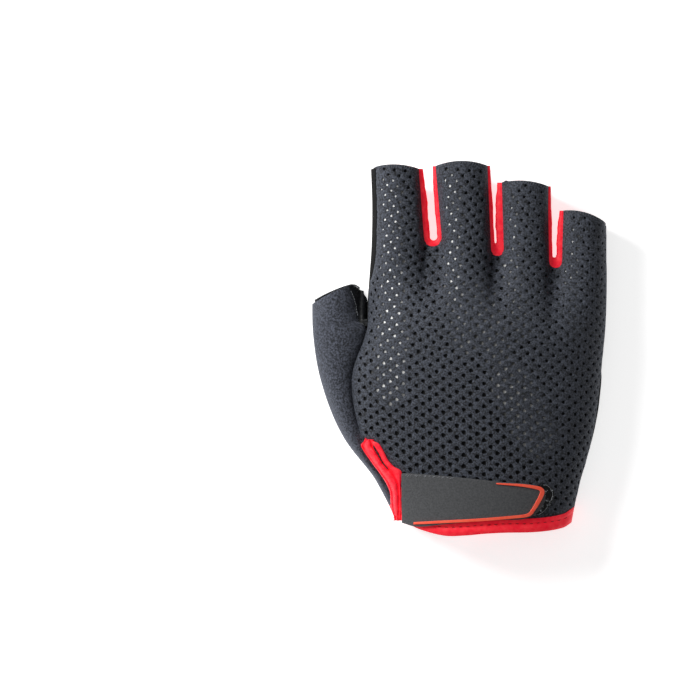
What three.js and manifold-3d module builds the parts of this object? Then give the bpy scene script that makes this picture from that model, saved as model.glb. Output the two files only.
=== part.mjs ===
// A right-hand short-finger cycling glove, lying palm down with its back up.
// Millimetres. +Z is up, +Y points along the fingers, and -X is the thumb's side.
// The origin is on the surface that the glove lies on, under the middle of its box.

import * as THREE from "three";
import Module from "manifold-3d";
import { mergeVertices } from "three/addons/utils/BufferGeometryUtils.js";

// Driving sizes
const GLOVE_LENGTH = 145.8;
const GLOVE_WIDTH = 115.4;
const CROWN_HEIGHT = 31.0;
const CLOTH_WALL = 1.3;
const SEAM_GAP = 0.3;
const UNDER_SEAM_GAP = 0.7;
const PAD_THICKNESS = 1.9;
const PAD_GAP = 0.3;
const SIDE_SEAM_HEIGHT = 7.6;
const SIDE_ROUND = 7.0;
const INDEX_SEAM_RISE_LENGTH = 18.5;
const HAND_FULLNESS = 0.72;
const THUMB_FULLNESS = 0.8;
const THUMB_PALM_RIM_RISE = 1.2;
const CROTCH_NOTCH = 2.0;
const SLOT_WIDTH = 6.0;
const SLOT_EDGE_HEIGHT = 17.2;
const SLOT_SIDE_ANGLE = THREE.MathUtils.degToRad(14);
const SLOT_EDGE_RAISE = 1.2;
const SLOT_EDGE_ROUND = 3.5;
const LOBE_FADE_LENGTH = 34.0;
const GUSSET_WALL = 1.2;
const GUSSET_BULGE = 0.6;
const FACING_FOLD = 0.4;
const HEM_WIDTH = 5.4;
const HEM_WALL = 1.5;
const HEM_GAP = 0.4;
const LIP_WALL = 1.6;
const LIP_PUFF = 0.7;
const STRAP_WALL = 1.3;
const STRAP_GAP = 0.5;
const STRIPE_WIDTH = 1.3;
const STRIPE_WALL = 0.6;
const STRIPE_GAP = 0.4;
const HOOK_TAB_LENGTH = 4.2;
const PATCH_EDGE = 1.8;
const PULL_TAB_WIDTH = 13.0;
const PULL_TAB_WALL = 1.2;
const PULL_TAB_REACH = 5.2;
const PULL_TAB_GRIP = 8.0;

// The palm leather lies this high, on the pads that the glove rests on.
const PALM_LEVEL = PAD_THICKNESS + PAD_GAP;

// A table is read by the names of its columns.
function table(names, rows) {
  const columns = names.split(" ");
  return rows.map((row) => Object.fromEntries(columns.map((name, i) => [name, row[i]])));
}

// Sections across the glove, from the wrist to the fingertips.
// at: share of the length. thumbLeft, handLeft, handRight: shares of the width.
// leftLevel, crown, hump: shares of the crown height. start: degrees of the arch at its left end.
const SECTIONS = table("at thumbLeft handLeft handRight leftLevel crown hump start", [
  [0.000, -0.228, -0.221, 0.374, 0.387, 0.871, 0.000, 22],
  [0.040, -0.243, -0.234, 0.381, 0.403, 0.890, 0.000, 22],
  [0.088, -0.270, -0.251, 0.393, 0.432, 0.910, 0.015, 20],
  [0.143, -0.307, -0.276, 0.409, 0.477, 0.932, 0.025, 20],
  [0.191, -0.343, -0.305, 0.427, 0.523, 0.952, 0.035, 20],
  [0.239, -0.378, -0.329, 0.443, 0.561, 0.971, 0.040, 18],
  [0.294, -0.416, -0.348, 0.457, 0.587, 0.987, 0.052, 14],
  [0.349, -0.445, -0.363, 0.467, 0.594, 1.000, 0.070, 10],
  [0.411, -0.470, -0.369, 0.476, 0.587, 1.000, 0.090, 8],
  [0.459, -0.484, -0.359, 0.482, 0.574, 1.000, 0.103, 8],
  [0.514, -0.494, -0.332, 0.489, 0.561, 0.997, 0.113, 8],
  [0.562, -0.499, -0.315, 0.494, 0.542, 0.984, 0.140, 6],
  [0.623, -0.500, -0.312, 0.497, 0.387, 0.948, 0.260, 3],
  [0.692, -0.500, -0.306, 0.498, 0.258, 0.890, 0.270, 0],
  [0.774, -0.500, -0.299, 0.497, 0.245, 0.794, 0.270, 0],
  [0.884, -0.500, -0.297, 0.498, 0.245, 0.742, 0.270, 0],
  [1.000, -0.500, -0.302, 0.500, 0.245, 0.710, 0.270, 0],
]);

// The openings between the digits, from the thumb's side. bottom, top: shares of the length.
// low, high: where the middle line is at each end, as shares of the width.
// wideLow, wideHigh: shares of the slot width.
const SLOTS = table("name bottom top low high wideLow wideHigh", [
  ["index_middle", 0.775, 0.980, -0.0900, -0.1110, 1.04, 0.98],
  ["middle_ring", 0.750, 0.946, 0.1265, 0.1175, 0.70, 0.77],
  ["ring_little", 0.718, 0.867, 0.3220, 0.3230, 0.70, 0.86],
]);
const THUMB_SLOT = { name: "thumb", bottom: 0.565, top: 0.660, wide: 0.56 };

// The fingers, from the index. Tips are shares of the length, crowns of the crown height.
const FINGERS = table("name backLeft backMiddle backRight palmLeft palmRight crown", [
  ["index", 0.982, 0.990, 0.979, 0.935, 0.940, 0.715],
  ["middle", 0.986, 0.999, 0.987, 0.958, 0.956, 0.760],
  ["ring", 0.942, 0.946, 0.932, 0.926, 0.915, 0.735],
  ["little", 0.867, 0.862, 0.835, 0.857, 0.828, 0.665],
]);

// The thumb's rim: across is a share of the thumb's width, rim a share of the length.
const THUMB_RIM = table("across rim", [
  [0.00, 0.618],
  [0.26, 0.638],
  [0.62, 0.660],
  [0.85, 0.668],
  [1.00, 0.658],
]);

// The suede's right edge above the thumb's root, where the leather of the thumb's inner side begins.
const SUEDE_EDGE = table("at right", [
  [0.565, -0.326],
  [0.584, -0.342],
  [0.623, -0.352],
  [0.662, -0.371],
]);

// Where the suede meets the palm leather underneath. right: share of the width.
const SUEDE_UNDER = table("at right", [
  [0.020, -0.150],
  [0.120, -0.157],
  [0.266, -0.235],
  [0.349, -0.315],
  [0.430, -0.382],
  [0.500, -0.436],
  [0.560, -0.475],
  [0.623, -0.489],
  [0.680, -0.490],
]);

// The wrist edge: across is a share of the wrist's width, back and palm are shares of the length.
const WRIST_EDGE = table("across back palm", [
  [0.00, 0.044, 0.044],
  [0.06, 0.036, 0.057],
  [0.14, 0.025, 0.070],
  [0.28, 0.000, 0.055],
  [0.40, 0.000, 0.022],
  [0.49, 0.001, 0.000],
  [0.60, 0.003, 0.019],
  [0.80, 0.007, 0.055],
  [0.94, 0.020, 0.051],
  [1.00, 0.036, 0.036],
]);

// The vent's binding, up its left lip, round its top and down its right lip.
// side: the cloth that it borders. outer: its outer edge's place, a share of the length.
// slitX, slitY: its edge at the slit, as shares of the width and the length.
const VENT = table("side outer slitX slitY", [
  ["suede", 0.040, -0.2290, 0.040],
  ["suede", 0.088, -0.2415, 0.088],
  ["suede", 0.130, -0.2550, 0.130],
  ["suede", 0.168, -0.2760, 0.166],
  ["suede", 0.199, -0.2960, 0.196],
  ["suede", 0.225, -0.3090, 0.214],
  ["suede", 0.245, -0.3125, 0.220],
  ["back", 0.262, -0.3125, 0.223],
  ["back", 0.256, -0.3110, 0.222],
  ["back", 0.247, -0.3060, 0.216],
  ["back", 0.225, -0.2930, 0.200],
  ["back", 0.196, -0.2740, 0.174],
  ["back", 0.168, -0.2560, 0.146],
  ["back", 0.130, -0.2440, 0.117],
  ["back", 0.088, -0.2350, 0.084],
  ["back", 0.040, -0.2240, 0.040],
]);

// The left edge of the back cloth beside the vent: at is a share of the length, left of the width.
const BACK_EDGE = table("at left", [
  [0.000, -0.200],
  [0.040, -0.202],
  [0.088, -0.204],
  [0.130, -0.207],
  [0.168, -0.215],
  [0.196, -0.249],
  [0.225, -0.267],
  [0.247, -0.285],
  [0.254, -0.309],
  [0.262, -0.334],
]);

// The closing strap, left to right. x: share of the width. high, low: shares of the length.
const STRAP = table("x high low", [
  [-0.203, 0.168, 0.036],
  [-0.150, 0.166, 0.026],
  [-0.050, 0.160, 0.033],
  [0.050, 0.152, 0.040],
  [0.140, 0.140, 0.044],
  [0.215, 0.134, 0.047],
  [0.262, 0.127, 0.069],
  [0.280, 0.116, 0.096],
]);

// The hook tape past the strap's end, from its top. gaps: seam gaps, reach: share of its length.
const HOOK_TAB = table("beside edge gaps reach", [
  ["corner", "high", 2, 0.85],
  ["end", "high", 1, 0.7],
  ["end", "low", 1, 0.5],
  ["corner", "low", 2, 0.6],
]);

// The line printed along the strap's edge, from the top, round the corner and along the foot.
// width: share of the stripe's width.
const STRIPE = table("x y width", [
  [0.120, 0.1330, 0.45],
  [0.200, 0.1275, 0.70],
  [0.253, 0.1220, 1.00],
  [0.272, 0.1120, 1.25],
  [0.262, 0.0900, 1.25],
  [0.238, 0.0600, 1.05],
  [0.215, 0.0540, 0.95],
  [0.140, 0.0505, 0.85],
  [0.050, 0.0460, 0.85],
  [-0.050, 0.0400, 0.80],
  [-0.145, 0.0345, 0.70],
]);

// The big palm patch, round its outline. x: share of the width, y: share of the length.
const PALM_PATCH = table("x y", [
  [0.489, 0.670], [0.440, 0.692], [0.330, 0.708], [0.215, 0.719], [0.048, 0.728],
  [-0.093, 0.736], [-0.197, 0.738], [-0.238, 0.728], [-0.254, 0.708], [-0.250, 0.665],
  [-0.225, 0.640], [-0.178, 0.622], [-0.103, 0.601], [-0.028, 0.580], [0.047, 0.558],
  [-0.046, 0.556], [-0.140, 0.563], [-0.187, 0.560], [-0.211, 0.544], [-0.197, 0.521],
  [-0.172, 0.505], [-0.083, 0.468], [0.029, 0.424], [0.090, 0.396], [0.048, 0.355],
  [0.010, 0.314], [-0.028, 0.272], [-0.037, 0.238], [-0.028, 0.216], [0.010, 0.190],
  [0.085, 0.168], [0.179, 0.147], [0.282, 0.134], [0.348, 0.130], [0.386, 0.140],
  [0.410, 0.172], [0.440, 0.230], [0.462, 0.300], [0.474, 0.360], [0.480, 0.440],
  [0.450, 0.476], [0.339, 0.510], [0.283, 0.528], [0.339, 0.535], [0.423, 0.535],
  [0.479, 0.536], [0.484, 0.555], [0.489, 0.600],
]);

// The pad at the thumb's root, round its outline, in the same shares.
const THUMB_PATCH = table("x y", [
  [-0.174, 0.494], [-0.225, 0.466], [-0.277, 0.428], [-0.263, 0.383], [-0.235, 0.342],
  [-0.207, 0.295], [-0.188, 0.252], [-0.160, 0.234], [-0.131, 0.232], [-0.103, 0.242],
  [-0.047, 0.285], [0.000, 0.328], [0.022, 0.354], [0.020, 0.374], [-0.047, 0.434],
  [-0.122, 0.470],
]);

const alongY = (share) => (share - 0.5) * GLOVE_LENGTH;
const shareOfY = (y) => y / GLOVE_LENGTH + 0.5;
const acrossX = (share) => share * GLOVE_WIDTH;
const mix = (a, b, t) => a + (b - a) * t;
const clamp = (value, low, high) => Math.min(high, Math.max(low, value));

function smooth(t) {
  const s = clamp(t, 0, 1);
  return s * s * (3 - 2 * s);
}

// A column of a table as a smooth curve through its rows.
function read(rows, key, column, at) {
  let i = 0;
  while (i < rows.length - 2 && at > rows[i + 1][key]) i += 1;
  const slope = (j) => {
    const a = rows[Math.max(0, j - 1)];
    const b = rows[Math.min(rows.length - 1, j + 1)];
    return (b[column] - a[column]) / (b[key] - a[key]);
  };
  const p = rows[i];
  const q = rows[i + 1];
  const span = q[key] - p[key];
  const t = clamp((at - p[key]) / span, 0, 1);
  const bend = t * t * (3 - 2 * t);
  const start = t * (1 - t) * (1 - t) * slope(i) * span;
  const end = t * t * (t - 1) * slope(i + 1) * span;
  return mix(p[column], q[column], bend) + start + end;
}

const section = (column, y) => read(SECTIONS, "at", column, shareOfY(y));
const handLeft = (y) => acrossX(section("handLeft", y));
const handRight = (y) => acrossX(section("handRight", y));
const thumbLeft = (y) => acrossX(section("thumbLeft", y));

// The slots between the digits

const fingerSlots = SLOTS.map((slot) => ({
  ...slot,
  bottomY: alongY(slot.bottom),
  middle: (y) => {
    const t = (shareOfY(y) - slot.bottom) / (slot.top - slot.bottom);
    return acrossX(mix(slot.low, slot.high, t));
  },
  half: (y) => {
    const t = clamp((shareOfY(y) - slot.bottom) / (slot.top - slot.bottom), 0, 1);
    return (SLOT_WIDTH / 2) * mix(slot.wideLow, slot.wideHigh, t);
  },
}));

const thumbSlotHalf = (SLOT_WIDTH / 2) * THUMB_SLOT.wide;
const thumbSlot = {
  ...THUMB_SLOT,
  bottomY: alongY(THUMB_SLOT.bottom),
  middle: (y) => handLeft(y) - thumbSlotHalf,
  half: () => thumbSlotHalf,
};

const archTop = (slot) => slot.bottomY + slot.half(slot.bottomY);

// Half the slot's opening at a height above its round bottom.
function slotHalf(slot, y) {
  const round = slot.half(slot.bottomY);
  const below = clamp((archTop(slot) - y) / round, 0, 1);
  return slot.half(y) * Math.sqrt(1 - below * below);
}

const slotLeft = (slot, y) => slot.middle(y) - slotHalf(slot, y);
const slotRight = (slot, y) => slot.middle(y) + slotHalf(slot, y);

// How far a place is from the nearest slot's edge.
function slotDistance(x, y) {
  const distances = [thumbSlot, ...fingerSlots].map((slot) => {
    if (y > alongY(slot.top) + SLOT_EDGE_ROUND) return SLOT_EDGE_ROUND;
    const top = archTop(slot);
    const dx = x - slot.middle(Math.max(y, slot.bottomY));
    const away = y > top ? Math.abs(dx) : Math.hypot(dx, y - top);
    return away - slot.half(Math.max(y, top));
  });
  return Math.max(0, Math.min(...distances));
}

// Each finger's sides, as places above the slots' round bottoms.
const fingers = FINGERS.map((finger, k) => {
  const before = fingerSlots[k - 1];
  const after = fingerSlots[k];
  return {
    ...finger,
    left: (y) => (before ? before.middle(y) - -before.half(y) : handLeft(y)),
    right: (y) => (after ? after.middle(y) - after.half(y) : handRight(y)),
    leftRoot: before ? archTop(before) : archTop(fingerSlots[0]),
    rightRoot: after ? archTop(after) : archTop(fingerSlots[fingerSlots.length - 1]),
    outerLeft: !before,
    outerRight: !after,
  };
});

// Below the slots each finger's sides keep their share of the hand's width.
const handShare = (x, y) => (x - handLeft(y)) / (handRight(y) - handLeft(y));
const handPlace = (share, y) => mix(handLeft(y), handRight(y), share);
for (const finger of fingers) {
  finger.leftShare = finger.outerLeft ? 0 : handShare(finger.left(finger.leftRoot), finger.leftRoot);
  finger.rightShare = finger.outerRight ? 1 : handShare(finger.right(finger.rightRoot), finger.rightRoot);
}

// The back of the glove as a height over the floor

function handArch(x, y) {
  const start = THREE.MathUtils.degToRad(Math.max(0, section("start", y)));
  const across = clamp(handShare(x, y), 0, 1);
  const turn = Math.acos(clamp(Math.cos(start) - across * (1 + Math.cos(start)), -1, 1));
  const crown = section("crown", y) * CROWN_HEIGHT;
  const rise = Math.sin(turn) ** HAND_FULLNESS;
  if (turn > Math.PI / 2) return mix(SIDE_SEAM_HEIGHT, crown, rise);
  const first = Math.sin(start) ** HAND_FULLNESS;
  return mix(section("leftLevel", y) * CROWN_HEIGHT, crown, (rise - first) / (1 - first));
}

function fingerArch(finger, across, y) {
  const first = finger.outerLeft ? 0 : SLOT_SIDE_ANGLE;
  const last = finger.outerRight ? 0 : SLOT_SIDE_ANGLE;
  const turn = Math.acos(clamp(mix(Math.cos(first), -Math.cos(last), clamp(across, 0, 1)), -1, 1));
  const rise = Math.sin(turn) ** HAND_FULLNESS;
  const onLeft = turn < Math.PI / 2;
  const edge = Math.sin(onLeft ? first : last) ** HAND_FULLNESS;
  const outer = onLeft ? section("leftLevel", y) * CROWN_HEIGHT : SIDE_SEAM_HEIGHT;
  const open = onLeft ? finger.outerLeft : finger.outerRight;
  const level = open ? outer : SLOT_EDGE_HEIGHT;
  return mix(level, finger.crown * CROWN_HEIGHT, (rise - edge) / (1 - edge));
}

function lobes(x, y) {
  const share = handShare(x, y);
  for (const finger of fingers) {
    if (share >= finger.leftShare && share <= finger.rightShare) {
      const across = (share - finger.leftShare) / (finger.rightShare - finger.leftShare);
      return fingerArch(finger, across, y);
    }
  }
  return SLOT_EDGE_HEIGHT;
}

// The line through the slots' bottoms, where the hand ends and the fingers begin.
const ROOT_LINE = fingerSlots.map((slot) => ({ x: slot.middle(slot.bottomY), y: slot.bottomY }));
function rootLine(x) {
  const [a, b, c] = ROOT_LINE;
  const t = clamp((x - a.x) / (c.x - a.x), 0, 1);
  const middle = (b.x - a.x) / (c.x - a.x);
  return t < middle ? mix(a.y, b.y, t / middle) : mix(b.y, c.y, (t - middle) / (1 - middle));
}

function backHeight(x, y) {
  const fade = smooth((y - rootLine(x) + LOBE_FADE_LENGTH) / LOBE_FADE_LENGTH);
  return fade === 0 ? handArch(x, y) : mix(handArch(x, y), lobes(x, y), fade ** 1.3);
}

// The thumb's back, a lower lobe beside the hand, or a tube above its root
const tubeRight = (y) => slotLeft(thumbSlot, Math.max(y, thumbSlot.bottomY));
const thumbRight = (y) => (y < thumbSlot.bottomY ? handLeft(y) : tubeRight(y));

function thumbHeight(x, y) {
  const across = clamp((x - thumbLeft(y)) / (thumbRight(y) - thumbLeft(y)), 0, 1);
  const arch = Math.sqrt(1 - (1 - across) ** 2);
  const hump = section("hump", y) * CROWN_HEIGHT * Math.sin(Math.PI * across) ** THUMB_FULLNESS;
  return mix(SIDE_SEAM_HEIGHT, section("leftLevel", y) * CROWN_HEIGHT, arch) + hump;
}

// The palm's height on the little finger's side, flat and then round at its edge
function palmSide(x, y) {
  const near = clamp((handRight(y) - x) / SIDE_ROUND, 0, 1);
  return PALM_LEVEL + (SIDE_SEAM_HEIGHT - PALM_LEVEL) * (1 - Math.sqrt(1 - (1 - near) ** 2));
}

// The palm, flat where it rests, round at the sides and lifted a little along the slots
function palmHeight(x, y) {
  const onThumb = y > thumbSlot.bottomY && x < thumbSlot.middle(y);
  const fingersBegun = y > rootLine(x);
  const left = y < thumbSlot.bottomY || onThumb ? thumbLeft(y) : handLeft(y);
  const leftDistance = x - left;
  const rightDistance = onThumb ? SIDE_ROUND : handRight(y) - x;
  const near = clamp(Math.min(leftDistance, rightDistance) / SIDE_ROUND, 0, 1);
  const besideThumb = leftDistance < rightDistance && !onThumb && y > thumbSlot.bottomY;
  const edge = besideThumb ? Math.min(SIDE_SEAM_HEIGHT, sideLevel(y)) : SIDE_SEAM_HEIGHT;
  const side = (edge - PALM_LEVEL) * (1 - Math.sqrt(1 - (1 - near) ** 2));
  const lift = (1 - clamp(slotDistance(x, y) / SLOT_EDGE_ROUND, 0, 1)) ** 2;
  const raise = besideThumb && !fingersBegun && near < 1 ? 0 : SLOT_EDGE_RAISE * lift;
  return PALM_LEVEL + side + raise;
}

// The index finger's side seam starts low at the thumb's root and rises to its own height.
function sideLevel(y) {
  const rise = smooth((y - thumbSlot.bottomY) / INDEX_SEAM_RISE_LENGTH);
  return mix(PALM_LEVEL + SLOT_EDGE_RAISE, SIDE_SEAM_HEIGHT, rise);
}

// Cloth pieces

// A grid of points: place(u, v) for u across and v along, at the listed shares.
const steps = (count) => Array.from({ length: count + 1 }, (_, i) => i / count);

function grid(across, along, place) {
  return along.map((v) => across.map((u) => place(u, v)));
}

// A cloth piece of one thickness, from grids of outer points that share their borders.
// Each grid's faces point out when its rows run counterclockwise seen from outside.
function cloth(grids, thickness) {
  const places = new Map();
  const outer = [];
  const pointIndex = (p) => {
    const key = `${Math.round(p.x * 2000)} ${Math.round(p.y * 2000)} ${Math.round(p.z * 2000)}`;
    if (!places.has(key)) {
      places.set(key, outer.length);
      outer.push(p);
    }
    return places.get(key);
  };
  const faces = [];
  const addFace = (a, b, c) => {
    if (a !== b && b !== c && c !== a) faces.push([a, b, c]);
  };
  for (const rows of grids) {
    const ids = rows.map((row) => row.map(pointIndex));
    for (let i = 0; i + 1 < ids.length; i += 1) {
      for (let j = 0; j + 1 < ids[i].length; j += 1) {
        addFace(ids[i][j], ids[i][j + 1], ids[i + 1][j + 1]);
        addFace(ids[i][j], ids[i + 1][j + 1], ids[i + 1][j]);
      }
    }
  }
  const normals = outer.map(() => new THREE.Vector3());
  const edges = new Map();
  for (const [a, b, c] of faces) {
    const side = outer[b].clone().sub(outer[a]);
    const normal = side.cross(outer[c].clone().sub(outer[a]));
    for (const corner of [a, b, c]) normals[corner].add(normal);
    for (const [from, to] of [[a, b], [b, c], [c, a]]) edges.set(`${from} ${to}`, [from, to]);
  }
  const shift = outer.length;
  outer.forEach((p, i) => {
    if (p.upright) normals[i].z = 0;
  });
  const inner = outer.map((p, i) => p.clone().addScaledVector(normals[i].normalize(), -thickness));
  const allFaces = faces.concat(faces.map(([a, b, c]) => [a + shift, c + shift, b + shift]));
  for (const [from, to] of edges.values()) {
    if (edges.has(`${to} ${from}`)) continue;
    allFaces.push([to, from, from + shift]);
    allFaces.push([to, from + shift, to + shift]);
  }
  const geometry = new THREE.BufferGeometry();
  const numbers = outer.concat(inner).flatMap((p) => [p.x, p.y, p.z]);
  geometry.setAttribute("position", new THREE.Float32BufferAttribute(numbers, 3));
  geometry.setIndex(allFaces.flat());
  return geometry;
}

const point = (x, y, z) => new THREE.Vector3(x, y, z);

// A point on a side seam, where the cloth stands upright
function seamPoint(x, y, z, shift) {
  const place = point(x, y, z + shift);
  place.upright = shift !== 0;
  return place;
}

// Columns across one finger, closer together at its sides
const FINGER_COLUMNS = [0, 0.03, 0.12, 0.35, 0.65, 0.88, 0.97, 1];

// Turns round a slot's bottom where every piece beside it has a point
const SLOT_TURNS = [45, 90, 135].map((turn) => THREE.MathUtils.degToRad(turn));

// Columns across the hand below the slots, each with the height at which it ends.
const handColumns = [];
fingers.forEach((finger, k) => {
  for (const t of FINGER_COLUMNS) {
    handColumns.push({
      finger,
      t,
      share: mix(finger.leftShare, finger.rightShare, t),
      end: mix(finger.leftRoot, finger.rightRoot, t),
    });
  }
  const slot = fingerSlots[k];
  if (!slot) return;
  const next = fingers[k + 1];
  const round = slot.half(slot.bottomY);
  for (const turn of SLOT_TURNS) {
    handColumns.push({
      share: mix(finger.rightShare, next.leftShare, (1 - Math.cos(turn)) / 2),
      end: archTop(slot) - round * Math.sin(turn),
    });
  }
});

// The wrist's edge, from the left silhouette to the right one, on the back or the palm.
const WRIST_Y = alongY(0.05);
function wristEdge(x, side) {
  const left = thumbLeft(WRIST_Y);
  const across = clamp((x - left) / (handRight(WRIST_Y) - left), 0, 1);
  return alongY(read(WRIST_EDGE, "across", side, across));
}

// Where a column that follows x(y) crosses the top of the hem.
function hemTop(xAt, side) {
  let y = WRIST_Y;
  for (let i = 0; i < 6; i += 1) y = wristEdge(xAt(y), side) + HEM_WIDTH;
  return y;
}

function clothEdge(y) {
  if (y > thumbSlot.bottomY) return handLeft(y);
  const share = shareOfY(y);
  const last = BACK_EDGE[BACK_EDGE.length - 1].at;
  const edge = share < last ? acrossX(read(BACK_EDGE, "at", "left", share)) : handLeft(y);
  return edge + SEAM_GAP / 2;
}

const FINGER_ROWS = [0, 0.3, 0.62, 1];

// A finger's rim: the height where a column ends, on the back or on the palm.
function backTip(finger, t) {
  const bow = 4 * t * (1 - t);
  const straight = mix(finger.backLeft, finger.backRight, t);
  return alongY(straight + bow * (finger.backMiddle - mix(finger.backLeft, finger.backRight, 0.5)));
}

const palmTip = (finger, t) => alongY(mix(finger.palmLeft, finger.palmRight, t));

// Half of the gap along the outer side seams
function seamShift(finger, t) {
  const open = (finger.outerLeft && t === 0) || (finger.outerRight && t === 1);
  return open ? SEAM_GAP / 2 : 0;
}

function fingerPlace(finger, t, y, height, side) {
  const x = mix(finger.left(y), finger.right(y), t);
  return seamPoint(x, y, height(x, y, finger, t), side * seamShift(finger, t));
}

function fingerGrid(finger, tip, height, side) {
  return grid(FINGER_COLUMNS, FINGER_ROWS, (t, v) => {
    const root = mix(finger.leftRoot, finger.rightRoot, t);
    return fingerPlace(finger, t, mix(root, tip(finger, t), v), height, side);
  });
}

// Where the rows of the back cloth meet its left edge, as shares of the length
const VENT_ROWS = [0.088, 0.13, 0.168, 0.196, 0.225, 0.247, 0.256, 0.262];
const BACK_ROWS = [...VENT_ROWS, 0.33, 0.42, 0.51, 0.59, 0.66, 0.73];

// The perforated cloth over the back of the hand and the fingers
function backPanel() {
  const left = { start: hemTop(clothEdge, "back") + HEM_GAP, end: handColumns[0].end };
  const rows = [0, ...BACK_ROWS.map((at) => (alongY(at) - left.start) / (left.end - left.start)), 1];
  const height = (x, y, finger, t) => fingerArch(finger, t, y);
  const place = (share, y) => mix(clothEdge(y), handRight(y), share);
  const hand = grid(handColumns, rows, (column, v) => {
    const start = hemTop((y) => place(column.share, y), "back") + HEM_GAP;
    const y = mix(start, column.end, v);
    if (v === 1 && column.finger) return fingerPlace(column.finger, column.t, y, height, 1);
    const x = place(column.share, y);
    const seam = column.finger && (column.share > 0.5 || y > thumbSlot.bottomY);
    const shift = seam ? seamShift(column.finger, column.t) : 0;
    return seamPoint(x, y, backHeight(x, y), shift);
  });
  const tubes = fingers.map((finger) => fingerGrid(finger, backTip, height, 1));
  return cloth([hand, ...tubes], CLOTH_WALL);
}

const underEdge = (y) => {
  const edge = acrossX(read(SUEDE_UNDER, "at", "right", shareOfY(y)));
  return Math.max(edge, thumbLeft(y) + 1);
};

// The thumb's rim
function thumbRim(x, rise) {
  const y = alongY(THUMB_SLOT.top);
  const across = clamp((x - thumbLeft(y)) / (tubeRight(y) - thumbLeft(y)), 0, 1);
  return alongY(read(THUMB_RIM, "across", "rim", across)) + rise;
}

// The embossed leather of the palm, the fingers' and the thumb's inner sides
function palmPanel() {
  const split = archTop(thumbSlot);
  const slotLeftX = slotLeft(thumbSlot, split);
  const round = thumbSlotHalf;
  const thumbColumns = [0, 0.3, 0.6, 0.85, 1];
  const leftStart = underEdge(split) + UNDER_SEAM_GAP;
  const columns = thumbColumns.map((t) => ({ x: mix(leftStart, slotLeftX, t), end: split }));
  for (const turn of SLOT_TURNS) {
    columns.push({
      x: slotLeftX + round * (1 - Math.cos(turn)),
      end: split - round * Math.sin(turn),
    });
  }
  for (const column of handColumns) {
    columns.push({ ...column, x: handPlace(column.share, split), end: split });
  }
  const width = handRight(split) - leftStart;
  for (const column of columns) column.share = (column.x - leftStart) / width;
  const place = (share, y) => mix(underEdge(y) + UNDER_SEAM_GAP, handRight(y), share);
  const heelRows = [0, 0.12, 0.26, 0.42, 0.6, 0.8, 1];
  const heel = grid(columns, heelRows, (column, v) => {
    const start = hemTop((y) => place(column.share, y), "palm") + HEM_GAP;
    const y = mix(start, column.end, v);
    const x = place(column.share, y);
    const drop = column.finger && !column.finger.outerLeft ? seamShift(column.finger, column.t) : 0;
    return seamPoint(x, y, palmHeight(x, y), -drop);
  });
  const hand = grid(handColumns, [0, 0.33, 0.66, 1], (column, v) => {
    const y = mix(split, column.end, v);
    if (v === 1 && column.finger) return fingerPlace(column.finger, column.t, y, palmHeight, -1);
    const x = handPlace(column.share, y);
    const seam = column.finger && (v > 0 || !column.finger.outerLeft);
    return seamPoint(x, y, palmHeight(x, y), seam ? -seamShift(column.finger, column.t) : 0);
  });
  const tubes = fingers.map((finger) => fingerGrid(finger, palmTip, palmHeight, -1));
  const thumb = grid(thumbColumns, [0, 0.5, 1], (t, v) => {
    const rim = thumbRim(mix(leftStart, slotLeftX, t), THUMB_PALM_RIM_RISE);
    const y = mix(split, rim, v);
    const x = mix(underEdge(y) + UNDER_SEAM_GAP, slotLeft(thumbSlot, y), t);
    return point(x, y, palmHeight(x, y));
  });
  const flip = (rows) => rows.map((row) => [...row].reverse());
  return cloth([heel, hand, ...tubes, thumb].map(flip), CLOTH_WALL);
}

// The suede over the thumb's back, round its side and down to the wrist
const CROTCH_Y = thumbSlot.bottomY - CROTCH_NOTCH;
function suedeEdge(y) {
  const notch = clamp((y - CROTCH_Y) / CROTCH_NOTCH, 0, 1);
  if (y < thumbSlot.bottomY) return handLeft(y) - SEAM_GAP - notch * thumbSlotHalf;
  const seam = acrossX(read(SUEDE_EDGE, "at", "right", shareOfY(y)));
  return Math.min(seam, slotLeft(thumbSlot, y)) - SEAM_GAP;
}

function thumbPanel() {
  const across = [0, 0.03, 0.12, 0.3, 0.5, 0.7, 0.86, 1];
  const rowY = (x, v, side) => mix(wristEdge(x, side) + HEM_WIDTH + HEM_GAP, thumbRim(x, 0), v);
  const root = [CROTCH_Y, thumbSlot.bottomY, archTop(thumbSlot) - thumbSlotHalf * Math.SQRT1_2];
  const rootRows = [...root, archTop(thumbSlot)].map((y) => {
    const start = rowY(suedeEdge(y), 0, "back");
    return (y - start) / (rowY(suedeEdge(y), 1, "back") - start);
  });
  const rows = [0, 0.08, 0.17, 0.27, 0.38, 0.5, 0.62, 0.72, ...rootRows, 0.93, 1];
  const place = (t, v, side, left, right) => {
    let x = mix(left(0), right(0), t);
    for (let i = 0; i < 8; i += 1) {
      const y = rowY(x, v, side);
      x = mix(left(y), right(y), t);
    }
    return [x, rowY(x, v, side)];
  };
  const top = grid(across, rows, (t, v) => {
    const [x, y] = place(t, v, "back", thumbLeft, suedeEdge);
    return point(x, y, thumbHeight(x, y));
  });
  const under = grid([0, 0.25, 0.6, 0.87, 1], rows, (t, v) => {
    const [x, y] = place(t, v, "palm", underEdge, thumbLeft);
    return point(x, y, palmHeight(x, y));
  });
  return cloth([top, under], CLOTH_WALL);
}

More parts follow.
